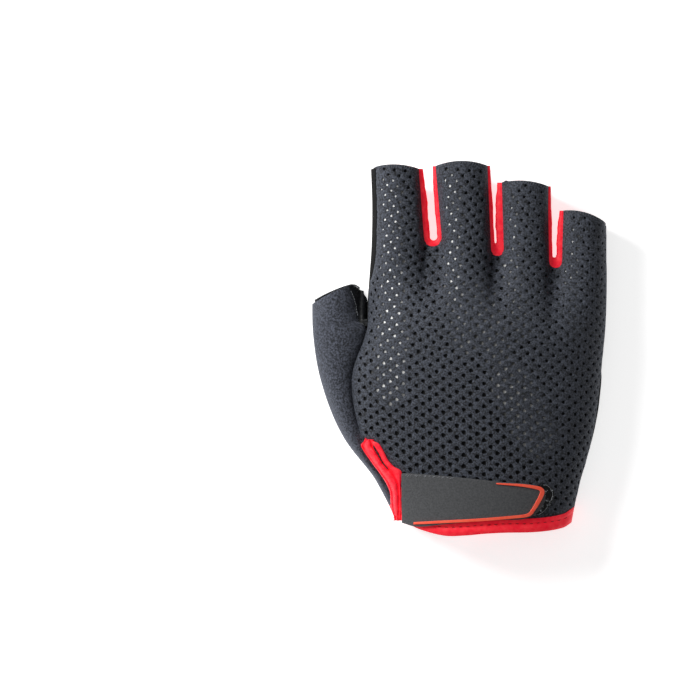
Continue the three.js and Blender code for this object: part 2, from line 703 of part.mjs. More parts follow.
// A strip inside a slot that joins the back's edge to the palm's edge
function slotPath(slot, inset, leftTop, rightTop, armSteps) {
  const path = [];
  const start = archTop(slot);
  const armY = (top, i) => mix(start, top, 1 - i / armSteps);
  for (let i = 0; i < armSteps; i += 1) {
    const y = armY(leftTop, i);
    path.push({ x: slot.middle(y) - slot.half(y) + inset, y, side: -1, t: i / armSteps });
  }
  const round = slot.half(start) - inset;
  for (const turn of [0, ...SLOT_TURNS, Math.PI]) {
    const x = slot.middle(start) - round * Math.cos(turn);
    path.push({ x, y: start - round * Math.sin(turn), side: -Math.cos(turn), t: 1 });
  }
  for (let i = armSteps - 1; i >= 0; i -= 1) {
    const y = armY(rightTop, i);
    path.push({ x: slot.middle(y) + slot.half(y) - inset, y, side: 1, t: i / armSteps });
  }
  return path;
}

function gusset(slot, k) {
  const inset = SEAM_GAP + GUSSET_WALL;
  const before = fingers[k];
  const after = fingers[k + 1];
  const leftBack = backTip(before, 1);
  const rightBack = backTip(after, 0);
  const backs = slotPath(slot, inset, leftBack, rightBack, 4);
  const palms = slotPath(slot, inset, palmTip(before, 1), palmTip(after, 0), 4);
  const rows = backs.map((back, i) => {
    const palm = palms[i];
    return [0, 0.25, 0.5, 0.75, 1].map((e) => {
      const bulge = GUSSET_BULGE * Math.sin(Math.PI * e);
      const y = mix(back.y, palm.y, e);
      const low = PALM_LEVEL + SLOT_EDGE_RAISE;
      const centre = Math.sqrt(Math.max(0, 1 - back.side ** 2));
      const x = mix(back.x, palm.x, e) - back.side * bulge;
      return point(x, y + bulge * centre, mix(SLOT_EDGE_HEIGHT, low, e));
    });
  });
  return cloth([rows.reverse()], GUSSET_WALL);
}

// The leather of the thumb's inner side: over from the suede's edge, down, and round its root
function thumbFacing() {
  const start = archTop(thumbSlot);
  const rim = thumbRim(slotLeft(thumbSlot, start), 0);
  const path = slotPath(thumbSlot, SEAM_GAP + GUSSET_WALL, rim, alongY(THUMB_SLOT.top), 3);
  const low = PALM_LEVEL + SLOT_EDGE_RAISE;
  const rows = path.map((place) => {
    const top = section("leftLevel", place.y) * CROWN_HEIGHT;
    const onThumb = place.side < 0 && place.y > start + SEAM_GAP;
    const reach = onThumb ? place.x - suedeEdge(place.y) - 2 * SEAM_GAP : 0;
    const over = [1, 0.5].map((e) => {
      const x = place.x - reach * e;
      return point(x, place.y, onThumb ? thumbHeight(x, place.y) : top + e * FACING_FOLD);
    });
    const down = [1, 0.5, 0].map((e) => point(place.x, place.y, mix(low, top - FACING_FOLD / 2, e)));
    return [...over, ...down];
  });
  return cloth([rows.reverse()], GUSSET_WALL);
}

// The red hem round the wrist, from the vent's right lip round to its left lip
function wristBinding() {
  const band = (xAt, side, height) => (t, v) => {
    let y = WRIST_Y;
    for (let i = 0; i < 8; i += 1) y = wristEdge(xAt(t, y), side) + HEM_WIDTH * v;
    const x = xAt(t, y);
    return point(x, y, height(x, y));
  };
  const widths = [0, 0.5, 1];
  const backX = (t, y) => mix(clothEdge(y), handRight(y), t);
  const backSteps = [0, 0.06, 0.14, 0.25, 0.38, 0.5, 0.62, 0.74, 0.85, 0.93, 0.98, 1];
  const palmSteps = [0, 0.006, 0.02, 0.045, 0.08, 0.12, 0.17, 0.26, 0.38, 0.46, 0.51, 0.56, 0.66];
  palmSteps.push(0.78, 0.88, 0.93, 0.965, 0.985, 0.995, 1);
  const palmX = (t, y) => mix(handRight(y), thumbLeft(y), t);
  const sideX = (t, y) => mix(thumbLeft(y), suedeEdge(y), t);
  const back = grid(backSteps, widths, band(backX, "back", backHeight));
  const palm = grid(palmSteps, widths, band(palmX, "palm", palmHeight));
  const side = grid([0, 0.5, 1], widths, band(sideX, "back", thumbHeight));
  return cloth([back, palm, side], HEM_WALL);
}

// The rolled red binding round the vent
function ventBinding() {
  const rows = VENT.map((row) =>
    [0, 0.33, 0.67, 1].map((e) => {
      const border = alongY(row.outer);
      const onBack = row.side === "back";
      const outer = onBack ? clothEdge(border) - SEAM_GAP : handLeft(border) + SEAM_GAP;
      const x = mix(outer, acrossX(row.slitX), e);
      const y = mix(border, alongY(row.slitY), e);
      const hand = x > handLeft(y) ? backHeight(x, y) : thumbHeight(x, y);
      return point(x, y, hand + LIP_PUFF * Math.sin(Math.PI * e));
    }),
  );
  return cloth([rows], LIP_WALL);
}

// The back's height, held to the cloth so that what lies over its edge follows it
const strapHeight = (x, y) => backHeight(Math.max(x, handLeft(y)), y);

function raised(x, y, offset) {
  const nudge = 0.2;
  const slopeX = (strapHeight(x + nudge, y) - strapHeight(x - nudge, y)) / (2 * nudge);
  const slopeY = (strapHeight(x, y + nudge) - strapHeight(x, y - nudge)) / (2 * nudge);
  const normal = point(-slopeX, -slopeY, 1).normalize();
  return point(x, y, strapHeight(x, y)).addScaledVector(normal, offset);
}

// The closing strap over the wrist, and the hook tape that shows beyond its end
function closureStrap() {
  const offset = STRAP_GAP + STRAP_WALL;
  const columns = [0, 0.03, 0.12, 0.25, 0.4, 0.55, 0.7, 0.82, 0.9, 0.96, 1];
  const first = STRAP[0].x;
  const last = STRAP[STRAP.length - 1].x;
  const rows = grid(columns, steps(4), (t, v) => {
    const x = mix(first, last, t);
    const low = read(STRAP, "x", "low", x);
    const high = read(STRAP, "x", "high", x);
    return raised(acrossX(x), alongY(mix(low, high, v)), offset);
  });
  return cloth([rows], STRAP_WALL);
}

function hookTab() {
  const [before, last] = STRAP.slice(-2);
  const gap = SEAM_GAP / GLOVE_WIDTH;
  const rows = HOOK_TAB.map((row) => {
    const end = row.beside === "corner" ? before : last;
    const start = end.x + gap * row.gaps;
    const reach = (HOOK_TAB_LENGTH * row.reach) / GLOVE_WIDTH;
    const y = alongY(end[row.edge]);
    const offset = STRAP_GAP + STRAP_WALL / 2;
    return [0, 0.5, 1].map((t) => raised(acrossX(start + reach * t), y, offset));
  });
  return cloth([rows.reverse()], STRAP_WALL / 2);
}

// The raised line that borders the strap
function strapStripe() {
  const offset = STRAP_GAP + STRAP_WALL + STRIPE_GAP + STRIPE_WALL;
  const middle = STRIPE.map((row) => point(acrossX(row.x), alongY(row.y), 0));
  const rows = middle.map((place, i) => {
    const ahead = middle[Math.min(i + 1, middle.length - 1)];
    const behind = middle[Math.max(i - 1, 0)];
    const way = ahead.clone().sub(behind).normalize();
    const half = (STRIPE_WIDTH * STRIPE[i].width) / 2;
    return [1, -1].map((side) => {
      const x = place.x + side * half * way.y;
      return raised(x, place.y - side * half * way.x, offset);
    });
  });
  return cloth([rows.reverse()], STRIPE_WALL);
}

// Solids that are cut by an outline
const wasm = await Module();
wasm.setup();

function toSolid(geometry) {
  const bare = geometry.clone();
  bare.deleteAttribute("normal");
  bare.deleteAttribute("uv");
  const merged = mergeVertices(bare, 1e-4);
  return new wasm.Manifold(
    new wasm.Mesh({
      numProp: 3,
      vertProperties: new Float32Array(merged.attributes.position.array),
      triVerts: new Uint32Array(merged.index.array),
    }),
  );
}

function toGeometry(solid) {
  const mesh = solid.getMesh();
  const geometry = new THREE.BufferGeometry();
  geometry.setAttribute("position", new THREE.BufferAttribute(mesh.vertProperties, 3));
  geometry.setIndex(new THREE.BufferAttribute(mesh.triVerts, 1));
  return geometry;
}

function outlinePrism(rows) {
  const shape = new THREE.Shape(rows.map((row) => new THREE.Vector2(acrossX(row.x), alongY(row.y))));
  const prism = new THREE.ExtrudeGeometry(shape, { depth: SIDE_SEAM_HEIGHT * 2, bevelEnabled: false });
  prism.translate(0, 0, -SIDE_SEAM_HEIGHT);
  return toSolid(prism);
}

// A place at a distance under the palm leather
function below(x, y, offset) {
  const nudge = 0.2;
  const slopeX = (palmSide(x + nudge, y) - palmSide(x - nudge, y)) / (2 * nudge);
  const slopeY = (palmSide(x, y + nudge) - palmSide(x, y - nudge)) / (2 * nudge);
  const normal = point(slopeX, slopeY, -1).normalize();
  return point(x, y, palmSide(x, y)).addScaledVector(normal, offset);
}

// A patch under the palm: a sheet that lies below the leather, cut to its outline
function palmPatch(rows) {
  const xs = rows.map((row) => acrossX(row.x));
  const ys = rows.map((row) => alongY(row.y));
  const margin = 2;
  const low = Math.min(...ys) - margin;
  const high = Math.max(...ys) + margin;
  const left = Math.min(...xs) - margin;
  const reach = [0, 0.25, 0.5, 0.75, 0.88, 0.94, 0.97, 1];
  const rightAt = (y) => Math.min(Math.max(...xs) + margin, handRight(y) - PATCH_EDGE);
  const bottom = grid(reach, steps(10), (t, v) => {
    const y = mix(low, high, v);
    return below(mix(left, rightAt(y), t), y, PAD_GAP + PAD_THICKNESS);
  });
  const sheet = cloth([bottom.map((row) => [...row].reverse())], PAD_THICKNESS);
  return toGeometry(toSolid(sheet).intersect(outlinePrism(rows)));
}

// A folded loop of leather round the palm's edge at a finger's end
function pullTab(finger) {
  const half = PULL_TAB_WIDTH / 2;
  const tip = Math.max(palmTip(finger, 0), palmTip(finger, 1));
  const middle = (finger.left(tip) + finger.right(tip)) / 2;
  const low = PALM_LEVEL - PAD_GAP - PULL_TAB_WALL;
  const slitLow = PALM_LEVEL - PAD_GAP;
  const slitHigh = PALM_LEVEL + CLOTH_WALL + PAD_GAP;
  const high = slitHigh + PULL_TAB_WALL;
  const back = tip - PULL_TAB_GRIP;
  const nose = tip + PULL_TAB_REACH;
  const fold = (high - low) / 2;
  const profile = new THREE.Shape();
  profile.moveTo(back, low);
  profile.lineTo(nose - fold, low);
  profile.absarc(nose - fold, (high + low) / 2, fold, -Math.PI / 2, Math.PI / 2, false);
  profile.lineTo(back, high);
  profile.lineTo(back, slitHigh);
  profile.lineTo(nose - fold, slitHigh);
  profile.lineTo(nose - fold, slitLow);
  profile.lineTo(back, slitLow);
  const loop = new THREE.ExtrudeGeometry(profile, {
    depth: PULL_TAB_WIDTH,
    bevelEnabled: false,
    curveSegments: 6,
  });
  loop.rotateX(Math.PI / 2);
  loop.rotateZ(Math.PI / 2);
  loop.translate(middle - half, 0, 0);
  return loop;
}

// Finishes
const finish = (color, roughness) => new THREE.MeshStandardMaterial({ color, roughness, metalness: 0 });
const meshCloth = finish("#3a3e46", 0.8);
const paleSuede = finish("#44464f", 0.95);
const palmLeather = finish("#2a2c2f", 0.45);
const redCloth = finish("#e8283a", 0.7);
const strapCloth = finish("#48494b", 0.75);
const hookTape = finish("#22242a", 0.8);
const stripeInk = finish("#ff5a4a", 0.6);

const glove = new THREE.Group();

function add(name, geometry, material) {
  const mesh = new THREE.Mesh(geometry, material);
  mesh.name = name;
  glove.add(mesh);
}

add("back_panel", backPanel(), meshCloth);
add("palm_panel", palmPanel(), palmLeather);
add("thumb_panel", thumbPanel(), paleSuede);
add("thumb_facing", thumbFacing(), palmLeather);
fingerSlots.forEach((slot, k) => add(`gusset_${slot.name}`, gusset(slot, k), redCloth));
add("wrist_binding", wristBinding(), redCloth);
add("vent_binding", ventBinding(), redCloth);
add("closure_strap", closureStrap(), strapCloth);
add("strap_hook_tab", hookTab(), hookTape);
add("strap_stripe", strapStripe(), stripeInk);
add("palm_overlay", palmPatch(PALM_PATCH), palmLeather);
add("thumb_pad", palmPatch(THUMB_PATCH), palmLeather);
add("pull_tab_middle", pullTab(fingers[1]), palmLeather);
add("pull_tab_ring", pullTab(fingers[2]), palmLeather);

export default glove;
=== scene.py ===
# %% [markdown]
# # A short-finger cycling glove
# The glove lies palm down. Its back is a perforated cloth, its palm a padded leather, its thumb suede,
# and red stretch cloth lines the finger openings and the wrist. Each piece is built from the same named
# sizes and tables as its solid, with finer steps, so that it lies where its solid does. Nothing is draped
# by a simulation, because a cut and sewn glove keeps the form of a hand when it lies empty.

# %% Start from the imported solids
import math
from functools import lru_cache

import bpy
import numpy as np
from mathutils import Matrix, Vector, kdtree


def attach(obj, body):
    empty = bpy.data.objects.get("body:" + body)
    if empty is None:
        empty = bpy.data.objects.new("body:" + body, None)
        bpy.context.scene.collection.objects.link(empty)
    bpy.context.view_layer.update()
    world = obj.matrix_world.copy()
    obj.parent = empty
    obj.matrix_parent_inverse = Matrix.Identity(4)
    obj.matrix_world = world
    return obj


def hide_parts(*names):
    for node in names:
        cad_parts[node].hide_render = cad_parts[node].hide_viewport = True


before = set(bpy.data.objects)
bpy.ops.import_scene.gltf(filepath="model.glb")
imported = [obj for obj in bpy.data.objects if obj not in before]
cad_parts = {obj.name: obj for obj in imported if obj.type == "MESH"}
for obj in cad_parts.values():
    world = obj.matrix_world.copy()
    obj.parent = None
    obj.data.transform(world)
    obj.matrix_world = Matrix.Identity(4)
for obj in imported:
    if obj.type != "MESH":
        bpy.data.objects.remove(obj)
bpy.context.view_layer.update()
MM = 0.001
rng = np.random.default_rng(7)
print("solids:", len(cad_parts))

# %% [markdown]
# ## The glove's shape
# A glove is easier to describe by sections than by points. Each row of a table is a section across the
# hand, and a smooth curve runs from row to row. The shares are of the length, the width and the height.
# All lengths are in millimetres, and x runs across the hand, y to the finger tips and z up.

# %% Driving sizes, in millimetres
GLOVE_LENGTH = 145.8
GLOVE_WIDTH = 115.4
CROWN_HEIGHT = 31.0
CLOTH_WALL = 1.3
SEAM_GAP = 0.3
UNDER_SEAM_GAP = -0.4
PAD_THICKNESS = 1.9
PAD_GAP = 0.3
SIDE_SEAM_HEIGHT = 7.6
SIDE_ROUND = 7.0
INDEX_SEAM_RISE_LENGTH = 18.5
HAND_FULLNESS = 0.72
THUMB_FULLNESS = 0.8
THUMB_PALM_RIM_RISE = 0.6
CROTCH_NOTCH = 2.0
SLOT_WIDTH = 6.0
SLOT_EDGE_HEIGHT = 17.2
SLOT_SIDE_ANGLE = math.radians(14)
SLOT_EDGE_RAISE = 1.2
SLOT_EDGE_ROUND = 3.5
LOBE_FADE_LENGTH = 34.0
GUSSET_WALL = 1.2
FACING_FOLD = 0.4
HEM_WIDTH = 5.4
HEM_WALL = 1.5
HEM_GAP = -0.3
STRAP_WALL = 1.3
STRAP_GAP = 0.5
STRIPE_WIDTH = 1.3
STRIPE_GAP = 0.15
PULL_TAB_WIDTH = 13.0
PULL_TAB_WALL = 1.2
PULL_TAB_REACH = 5.2
PULL_TAB_GRIP = 8.0
PALM_LEVEL = PAD_THICKNESS + PAD_GAP


# %% Tables of sections
def table(names, rows):
    keys = names.split()
    return [dict(zip(keys, row)) for row in rows]


SECTIONS = table("at thumbLeft handLeft handRight leftLevel crown hump start", [
    [0.000, -0.228, -0.221, 0.374, 0.387, 0.871, 0.000, 22],
    [0.040, -0.243, -0.234, 0.381, 0.403, 0.890, 0.000, 22],
    [0.088, -0.270, -0.251, 0.393, 0.432, 0.910, 0.015, 20],
    [0.143, -0.307, -0.276, 0.409, 0.477, 0.932, 0.025, 20],
    [0.191, -0.343, -0.305, 0.427, 0.523, 0.952, 0.035, 20],
    [0.239, -0.378, -0.329, 0.443, 0.561, 0.971, 0.040, 18],
    [0.294, -0.416, -0.348, 0.457, 0.587, 0.987, 0.052, 14],
    [0.349, -0.445, -0.363, 0.467, 0.594, 1.000, 0.070, 10],
    [0.411, -0.470, -0.369, 0.476, 0.587, 1.000, 0.090, 8],
    [0.459, -0.484, -0.359, 0.482, 0.574, 1.000, 0.103, 8],
    [0.514, -0.494, -0.332, 0.489, 0.561, 0.997, 0.113, 8],
    [0.562, -0.499, -0.315, 0.494, 0.542, 0.984, 0.140, 6],
    [0.623, -0.500, -0.312, 0.497, 0.387, 0.948, 0.260, 3],
    [0.692, -0.500, -0.306, 0.498, 0.258, 0.890, 0.270, 0],
    [0.774, -0.500, -0.299, 0.497, 0.245, 0.794, 0.270, 0],
    [0.884, -0.500, -0.297, 0.498, 0.245, 0.742, 0.270, 0],
    [1.000, -0.500, -0.302, 0.500, 0.245, 0.710, 0.270, 0],
])
SLOTS = table("name bottom top low high wideLow wideHigh", [
    ["index_middle", 0.775, 0.980, -0.0900, -0.1110, 1.04, 0.98],
    ["middle_ring", 0.750, 0.946, 0.1265, 0.1175, 0.70, 0.77],
    ["ring_little", 0.718, 0.867, 0.3220, 0.3230, 0.70, 0.86],
])
THUMB_BOTTOM = 0.565
THUMB_TOP = 0.660
THUMB_HALF = SLOT_WIDTH / 2 * 0.56
FINGERS = table("name backLeft backMiddle backRight palmLeft palmRight crown", [
    ["index", 0.982, 0.990, 0.979, 0.935, 0.940, 0.715],
    ["middle", 0.986, 0.999, 0.987, 0.958, 0.956, 0.760],
    ["ring", 0.942, 0.946, 0.932, 0.926, 0.915, 0.735],
    ["little", 0.867, 0.862, 0.835, 0.857, 0.828, 0.665],
])
THUMB_RIM = table("across rim", [
    [0.00, 0.618], [0.26, 0.638], [0.62, 0.660], [0.85, 0.668], [1.00, 0.658],
])
SUEDE_EDGE = table("at right", [
    [0.565, -0.326], [0.584, -0.342], [0.623, -0.352], [0.662, -0.371],
])
SUEDE_UNDER = table("at right", [
    [0.020, -0.150], [0.120, -0.157], [0.266, -0.235], [0.349, -0.315], [0.430, -0.382],
    [0.500, -0.436], [0.560, -0.475], [0.623, -0.489], [0.680, -0.490],
])
WRIST_EDGE = table("across back palm", [
    [0.00, 0.044, 0.044], [0.06, 0.036, 0.057], [0.14, 0.017, 0.070], [0.28, 0.000, 0.055],
    [0.40, 0.001, 0.022], [0.49, 0.005, 0.005], [0.60, 0.008, 0.022], [0.80, 0.010, 0.055],
    [0.94, 0.020, 0.051], [1.00, 0.036, 0.036],
])
BACK_EDGE = table("at left", [
    [0.000, -0.200], [0.040, -0.202], [0.088, -0.204], [0.130, -0.207], [0.168, -0.215],
    [0.196, -0.249], [0.225, -0.267], [0.247, -0.285], [0.254, -0.309], [0.262, -0.334],
])
STRAP = table("x high low", [
    [-0.203, 0.168, 0.036], [-0.150, 0.166, 0.026], [-0.050, 0.160, 0.033],
    [0.050, 0.152, 0.040], [0.140, 0.1440, 0.044], [0.215, 0.1400, 0.047],
    [0.262, 0.1320, 0.069], [0.280, 0.1180, 0.096],
])
HOOK_TAB = table("inX inY outX outY", [
    [28.5, -54.6, 29.8, -53.2], [31.0, -54.8, 33.6, -53.2], [31.8, -56.2, 35.5, -55.2],
    [31.2, -58.2, 36.0, -57.2], [30.2, -60.2, 34.6, -60.4], [29.0, -62.0, 32.8, -63.2],
    [27.6, -63.4, 30.2, -64.7], [26.6, -64.0, 27.4, -64.9],
])
STRIPE = table("x y width", [
    [0.118, 0.1410, 0.40], [0.200, 0.1363, 0.75], [0.250, 0.1300, 1.00],
    [0.266, 0.1245, 1.20], [0.2685, 0.1150, 1.25], [0.258, 0.0962, 1.20],
    [0.2405, 0.0725, 1.05], [0.221, 0.0568, 0.95], [0.162, 0.0508, 0.85],
    [0.046, 0.0436, 0.85], [-0.070, 0.0389, 0.80], [-0.149, 0.0356, 0.70],
])
PALM_PATCH = table("x y", [
    [0.489, 0.670], [0.440, 0.692], [0.330, 0.708], [0.215, 0.719], [0.048, 0.728],
    [-0.093, 0.736], [-0.197, 0.738], [-0.238, 0.728], [-0.254, 0.708], [-0.250, 0.665],
    [-0.225, 0.640], [-0.178, 0.622], [-0.103, 0.601], [-0.028, 0.580], [0.047, 0.558],
    [-0.046, 0.556], [-0.140, 0.563], [-0.187, 0.560], [-0.211, 0.544], [-0.197, 0.521],
    [-0.172, 0.505], [-0.083, 0.468], [0.029, 0.424], [0.090, 0.396], [0.048, 0.355],
    [0.010, 0.314], [-0.028, 0.272], [-0.037, 0.238], [-0.028, 0.216], [0.010, 0.190],
    [0.085, 0.168], [0.179, 0.147], [0.282, 0.134], [0.348, 0.130], [0.386, 0.140],
    [0.410, 0.172], [0.440, 0.230], [0.462, 0.300], [0.474, 0.360], [0.480, 0.440],
    [0.450, 0.476], [0.339, 0.510], [0.283, 0.528], [0.339, 0.535], [0.423, 0.535],
    [0.479, 0.536], [0.484, 0.555], [0.489, 0.600],
])
THUMB_PATCH = table("x y", [
    [-0.174, 0.494], [-0.225, 0.466], [-0.277, 0.428], [-0.263, 0.383], [-0.235, 0.342],
    [-0.207, 0.295], [-0.188, 0.252], [-0.160, 0.234], [-0.131, 0.232], [-0.103, 0.242],
    [-0.047, 0.285], [0.000, 0.328], [0.022, 0.354], [0.020, 0.374], [-0.047, 0.434],
    [-0.122, 0.470],
])


# %% Reading a table as a smooth curve
def along_y(share):
    return (share - 0.5) * GLOVE_LENGTH


def share_of_y(y):
    return y / GLOVE_LENGTH + 0.5


def across_x(share):
    return share * GLOVE_WIDTH


def mix(a, b, t):
    return a + (b - a) * t


def clamp(value, low=0.0, high=1.0):
    return min(high, max(low, value))


def smooth(t):
    t = clamp(t)
    return t * t * (3 - 2 * t)


def read(rows, key, column, at):
    i = 0
    while i < len(rows) - 2 and at > rows[i + 1][key]:
        i += 1

    def slope(j):
        a, b = rows[max(0, j - 1)], rows[min(len(rows) - 1, j + 1)]
        return (b[column] - a[column]) / (b[key] - a[key])

    p, q = rows[i], rows[i + 1]
    span = q[key] - p[key]
    t = clamp((at - p[key]) / span)
    start = t * (1 - t) ** 2 * slope(i) * span
    end = t * t * (t - 1) * slope(i + 1) * span
    return mix(p[column], q[column], t * t * (3 - 2 * t)) + start + end


@lru_cache(maxsize=None)
def section_at(column, step):
    return read(SECTIONS, "at", column, share_of_y(step / 50))


def section(column, y):
    step = math.floor(y * 50)
    return mix(section_at(column, step), section_at(column, step + 1), y * 50 - step)


def hand_left(y):
    return across_x(section("handLeft", y))


def hand_right(y):
    return across_x(section("handRight", y))


WRIST_TUCK = 2.8
TUCK_TOP = -35.0
TUCK_LENGTH = 17.0


def thumb_left(y):
    return across_x(section("thumbLeft", y)) + WRIST_TUCK * smooth((TUCK_TOP - y) / TUCK_LENGTH)


# %% The openings between the digits
class Slot:
    def __init__(self, row):
        self.name, self.bottom_y = row["name"], along_y(row["bottom"])
        self.row = row

    def middle(self, y):
        row = self.row
        t = (share_of_y(y) - row["bottom"]) / (row["top"] - row["bottom"])
        return across_x(mix(row["low"], row["high"], t))

    def half(self, y):
        row = self.row
        t = clamp((share_of_y(y) - row["bottom"]) / (row["top"] - row["bottom"]))
        return SLOT_WIDTH / 2 * mix(row["wideLow"], row["wideHigh"], t)


class ThumbSlot:
    bottom_y = along_y(THUMB_BOTTOM)

    def middle(self, y):
        return hand_left(y) - THUMB_HALF

    def half(self, y):
        return THUMB_HALF


slots = [Slot(row) for row in SLOTS]
thumb_slot = ThumbSlot()


def arch_top(slot):
    return slot.bottom_y + slot.half(slot.bottom_y)


def slot_half(slot, y):
    below = clamp((arch_top(slot) - y) / slot.half(slot.bottom_y))
    return slot.half(y) * math.sqrt(1 - below * below)


def slot_left(slot, y):
    return slot.middle(y) - slot_half(slot, y)


def slot_distance(x, y):
    best = SLOT_EDGE_ROUND
    for slot in [thumb_slot, *slots]:
        high = along_y(THUMB_TOP if slot is thumb_slot else slot.row["top"])
        if y > high + SLOT_EDGE_ROUND:
            continue
        top = arch_top(slot)
        dx = x - slot.middle(max(y, slot.bottom_y))
        away = abs(dx) if y > top else math.hypot(dx, y - top)
        best = min(best, away - slot.half(max(y, top)))
    return max(0.0, best)


# %% The fingers between them
def hand_share(x, y):
    return (x - hand_left(y)) / (hand_right(y) - hand_left(y))


def hand_place(share, y):
    return mix(hand_left(y), hand_right(y), share)


class Finger:
    def __init__(self, k):
        self.row = FINGERS[k]
        self.before = slots[k - 1] if k else None
        self.after = slots[k] if k < len(slots) else None
        self.left_root = arch_top(self.before or slots[0])
        self.right_root = arch_top(self.after or slots[-1])
        self.left_share, self.right_share = 0.0, 1.0
        if self.before:
            self.left_share = hand_share(self.left(self.left_root), self.left_root)
        if self.after:
            self.right_share = hand_share(self.right(self.right_root), self.right_root)

    def left(self, y):
        return self.before.middle(y) + self.before.half(y) if self.before else hand_left(y)

    def right(self, y):
        return self.after.middle(y) - self.after.half(y) if self.after else hand_right(y)

    def left_edge(self, y):
        return self.left(y) if y >= self.left_root else hand_place(self.left_share, y)

    def right_edge(self, y):
        return self.right(y) if y >= self.right_root else hand_place(self.right_share, y)


fingers = [Finger(k) for k in range(len(FINGERS))]


def back_tip(finger, t):
    row = finger.row
    bow = 4 * t * (1 - t) * (row["backMiddle"] - mix(row["backLeft"], row["backRight"], 0.5))
    return along_y(mix(row["backLeft"], row["backRight"], t) + bow)


def palm_tip(finger, t):
    return along_y(mix(finger.row["palmLeft"], finger.row["palmRight"], t))


# %% The height of the back, the thumb and the palm over the floor
def hand_arch(x, y):
    start = math.radians(max(0.0, section("start", y)))
    across = clamp(hand_share(x, y))
    turn = math.acos(clamp(math.cos(start) - across * (1 + math.cos(start)), -1, 1))
    crown = section("crown", y) * CROWN_HEIGHT
    rise = math.sin(turn) ** HAND_FULLNESS
    if turn > math.pi / 2:
        return mix(SIDE_SEAM_HEIGHT, crown, rise)
    first = math.sin(start) ** HAND_FULLNESS
    return mix(section("leftLevel", y) * CROWN_HEIGHT, crown, (rise - first) / (1 - first))


def finger_arch(finger, across, y):
    first = 0 if finger.before is None else SLOT_SIDE_ANGLE
    last = 0 if finger.after is None else SLOT_SIDE_ANGLE
    turn = math.acos(clamp(mix(math.cos(first), -math.cos(last), clamp(across)), -1, 1))
    rise = math.sin(turn) ** HAND_FULLNESS
    on_left = turn < math.pi / 2
    edge = math.sin(first if on_left else last) ** HAND_FULLNESS
    outer = section("leftLevel", y) * CROWN_HEIGHT if on_left else SIDE_SEAM_HEIGHT
    is_open = finger.before is None if on_left else finger.after is None
    level = outer if is_open else SLOT_EDGE_HEIGHT
    return mix(level, finger.row["crown"] * CROWN_HEIGHT, (rise - edge) / (1 - edge))


def lobes(x, y):
    for finger in fingers:
        left, right = finger.left_edge(y), finger.right_edge(y)
        if x <= right or finger.after is None:
            if x < left:
                return SLOT_EDGE_HEIGHT
            return finger_arch(finger, (x - left) / (right - left), y)
    return SLOT_EDGE_HEIGHT


ROOTS = [(slot.middle(slot.bottom_y), slot.bottom_y) for slot in slots]


def root_line(x):
    return float(np.interp(x, [p[0] for p in ROOTS], [p[1] for p in ROOTS]))


def back_height(x, y):
    fade = smooth((y - root_line(x) + LOBE_FADE_LENGTH) / LOBE_FADE_LENGTH)
    hand = hand_arch(x, y) if fade < 1 else 0.0
    return hand if fade == 0 else mix(hand, lobes(x, y), fade ** 1.3)


def tube_right(y):
    return slot_left(thumb_slot, max(y, thumb_slot.bottom_y))


THUMB_LEAST_WIDTH = 3.0


def thumb_height(x, y):
    right = hand_left(y) if y < thumb_slot.bottom_y else tube_right(y)
    right = max(right, thumb_left(y) + THUMB_LEAST_WIDTH)
    across = clamp((x - thumb_left(y)) / (right - thumb_left(y)))
    arch = math.sqrt(1 - (1 - across) ** 2)
    hump = section("hump", y) * CROWN_HEIGHT * math.sin(math.pi * across) ** THUMB_FULLNESS
    return mix(SIDE_SEAM_HEIGHT, section("leftLevel", y) * CROWN_HEIGHT, arch) + hump


def side_level(y):
    rise = smooth((y - thumb_slot.bottom_y) / INDEX_SEAM_RISE_LENGTH)
    return mix(PALM_LEVEL + SLOT_EDGE_RAISE, SIDE_SEAM_HEIGHT, rise)


def palm_side(x, y):
    near = clamp((hand_right(y) - x) / SIDE_ROUND)
    drop = SIDE_SEAM_HEIGHT - PALM_LEVEL
    return PALM_LEVEL + drop * (1 - math.sqrt(1 - (1 - near) ** 2))


def palm_height(x, y):
    above = y > thumb_slot.bottom_y
    on_thumb = above and x < thumb_slot.middle(y)
    left = thumb_left(y) if not above or on_thumb else hand_left(y)
    to_left = x - left
    to_right = SIDE_ROUND if on_thumb else hand_right(y) - x
    near = clamp(min(to_left, to_right) / SIDE_ROUND)
    beside_thumb = to_left < to_right and not on_thumb and above
    edge = min(SIDE_SEAM_HEIGHT, side_level(y)) if beside_thumb else SIDE_SEAM_HEIGHT
    side = (edge - PALM_LEVEL) * (1 - math.sqrt(1 - (1 - near) ** 2))
    lift = (1 - clamp(slot_distance(x, y) / SLOT_EDGE_ROUND)) ** 2
    flat = beside_thumb and y <= root_line(x) and near < 1
    return PALM_LEVEL + side + (0 if flat else SLOT_EDGE_RAISE * lift)


# %% The edges that the pieces share
WRIST_Y = along_y(0.05)
SEWN = 0.45


def wrist_edge(x, side):
    left = thumb_left(WRIST_Y)
    across = clamp((x - left) / (hand_right(WRIST_Y) - left))
    return along_y(read(WRIST_EDGE, "across", side, across))


def hem_top(x_at, side):
    y = WRIST_Y
    for _ in range(6):
        y = wrist_edge(x_at(y), side) + HEM_WIDTH
    return y


def cloth_edge(y):
    if y > thumb_slot.bottom_y:
        return hand_left(y)
    share = share_of_y(y)
    inside = share < BACK_EDGE[-1]["at"]
    edge = across_x(read(BACK_EDGE, "at", "left", share)) if inside else hand_left(y)
    return edge + SEAM_GAP / 2 - SEWN


def under_edge(y):
    return max(across_x(read(SUEDE_UNDER, "at", "right", share_of_y(y))), thumb_left(y) + 1)


def thumb_rim(x, rise=0.0):
    y = along_y(THUMB_TOP)
    across = clamp((x - thumb_left(y)) / (tube_right(y) - thumb_left(y)))
    return along_y(read(THUMB_RIM, "across", "rim", across)) + rise


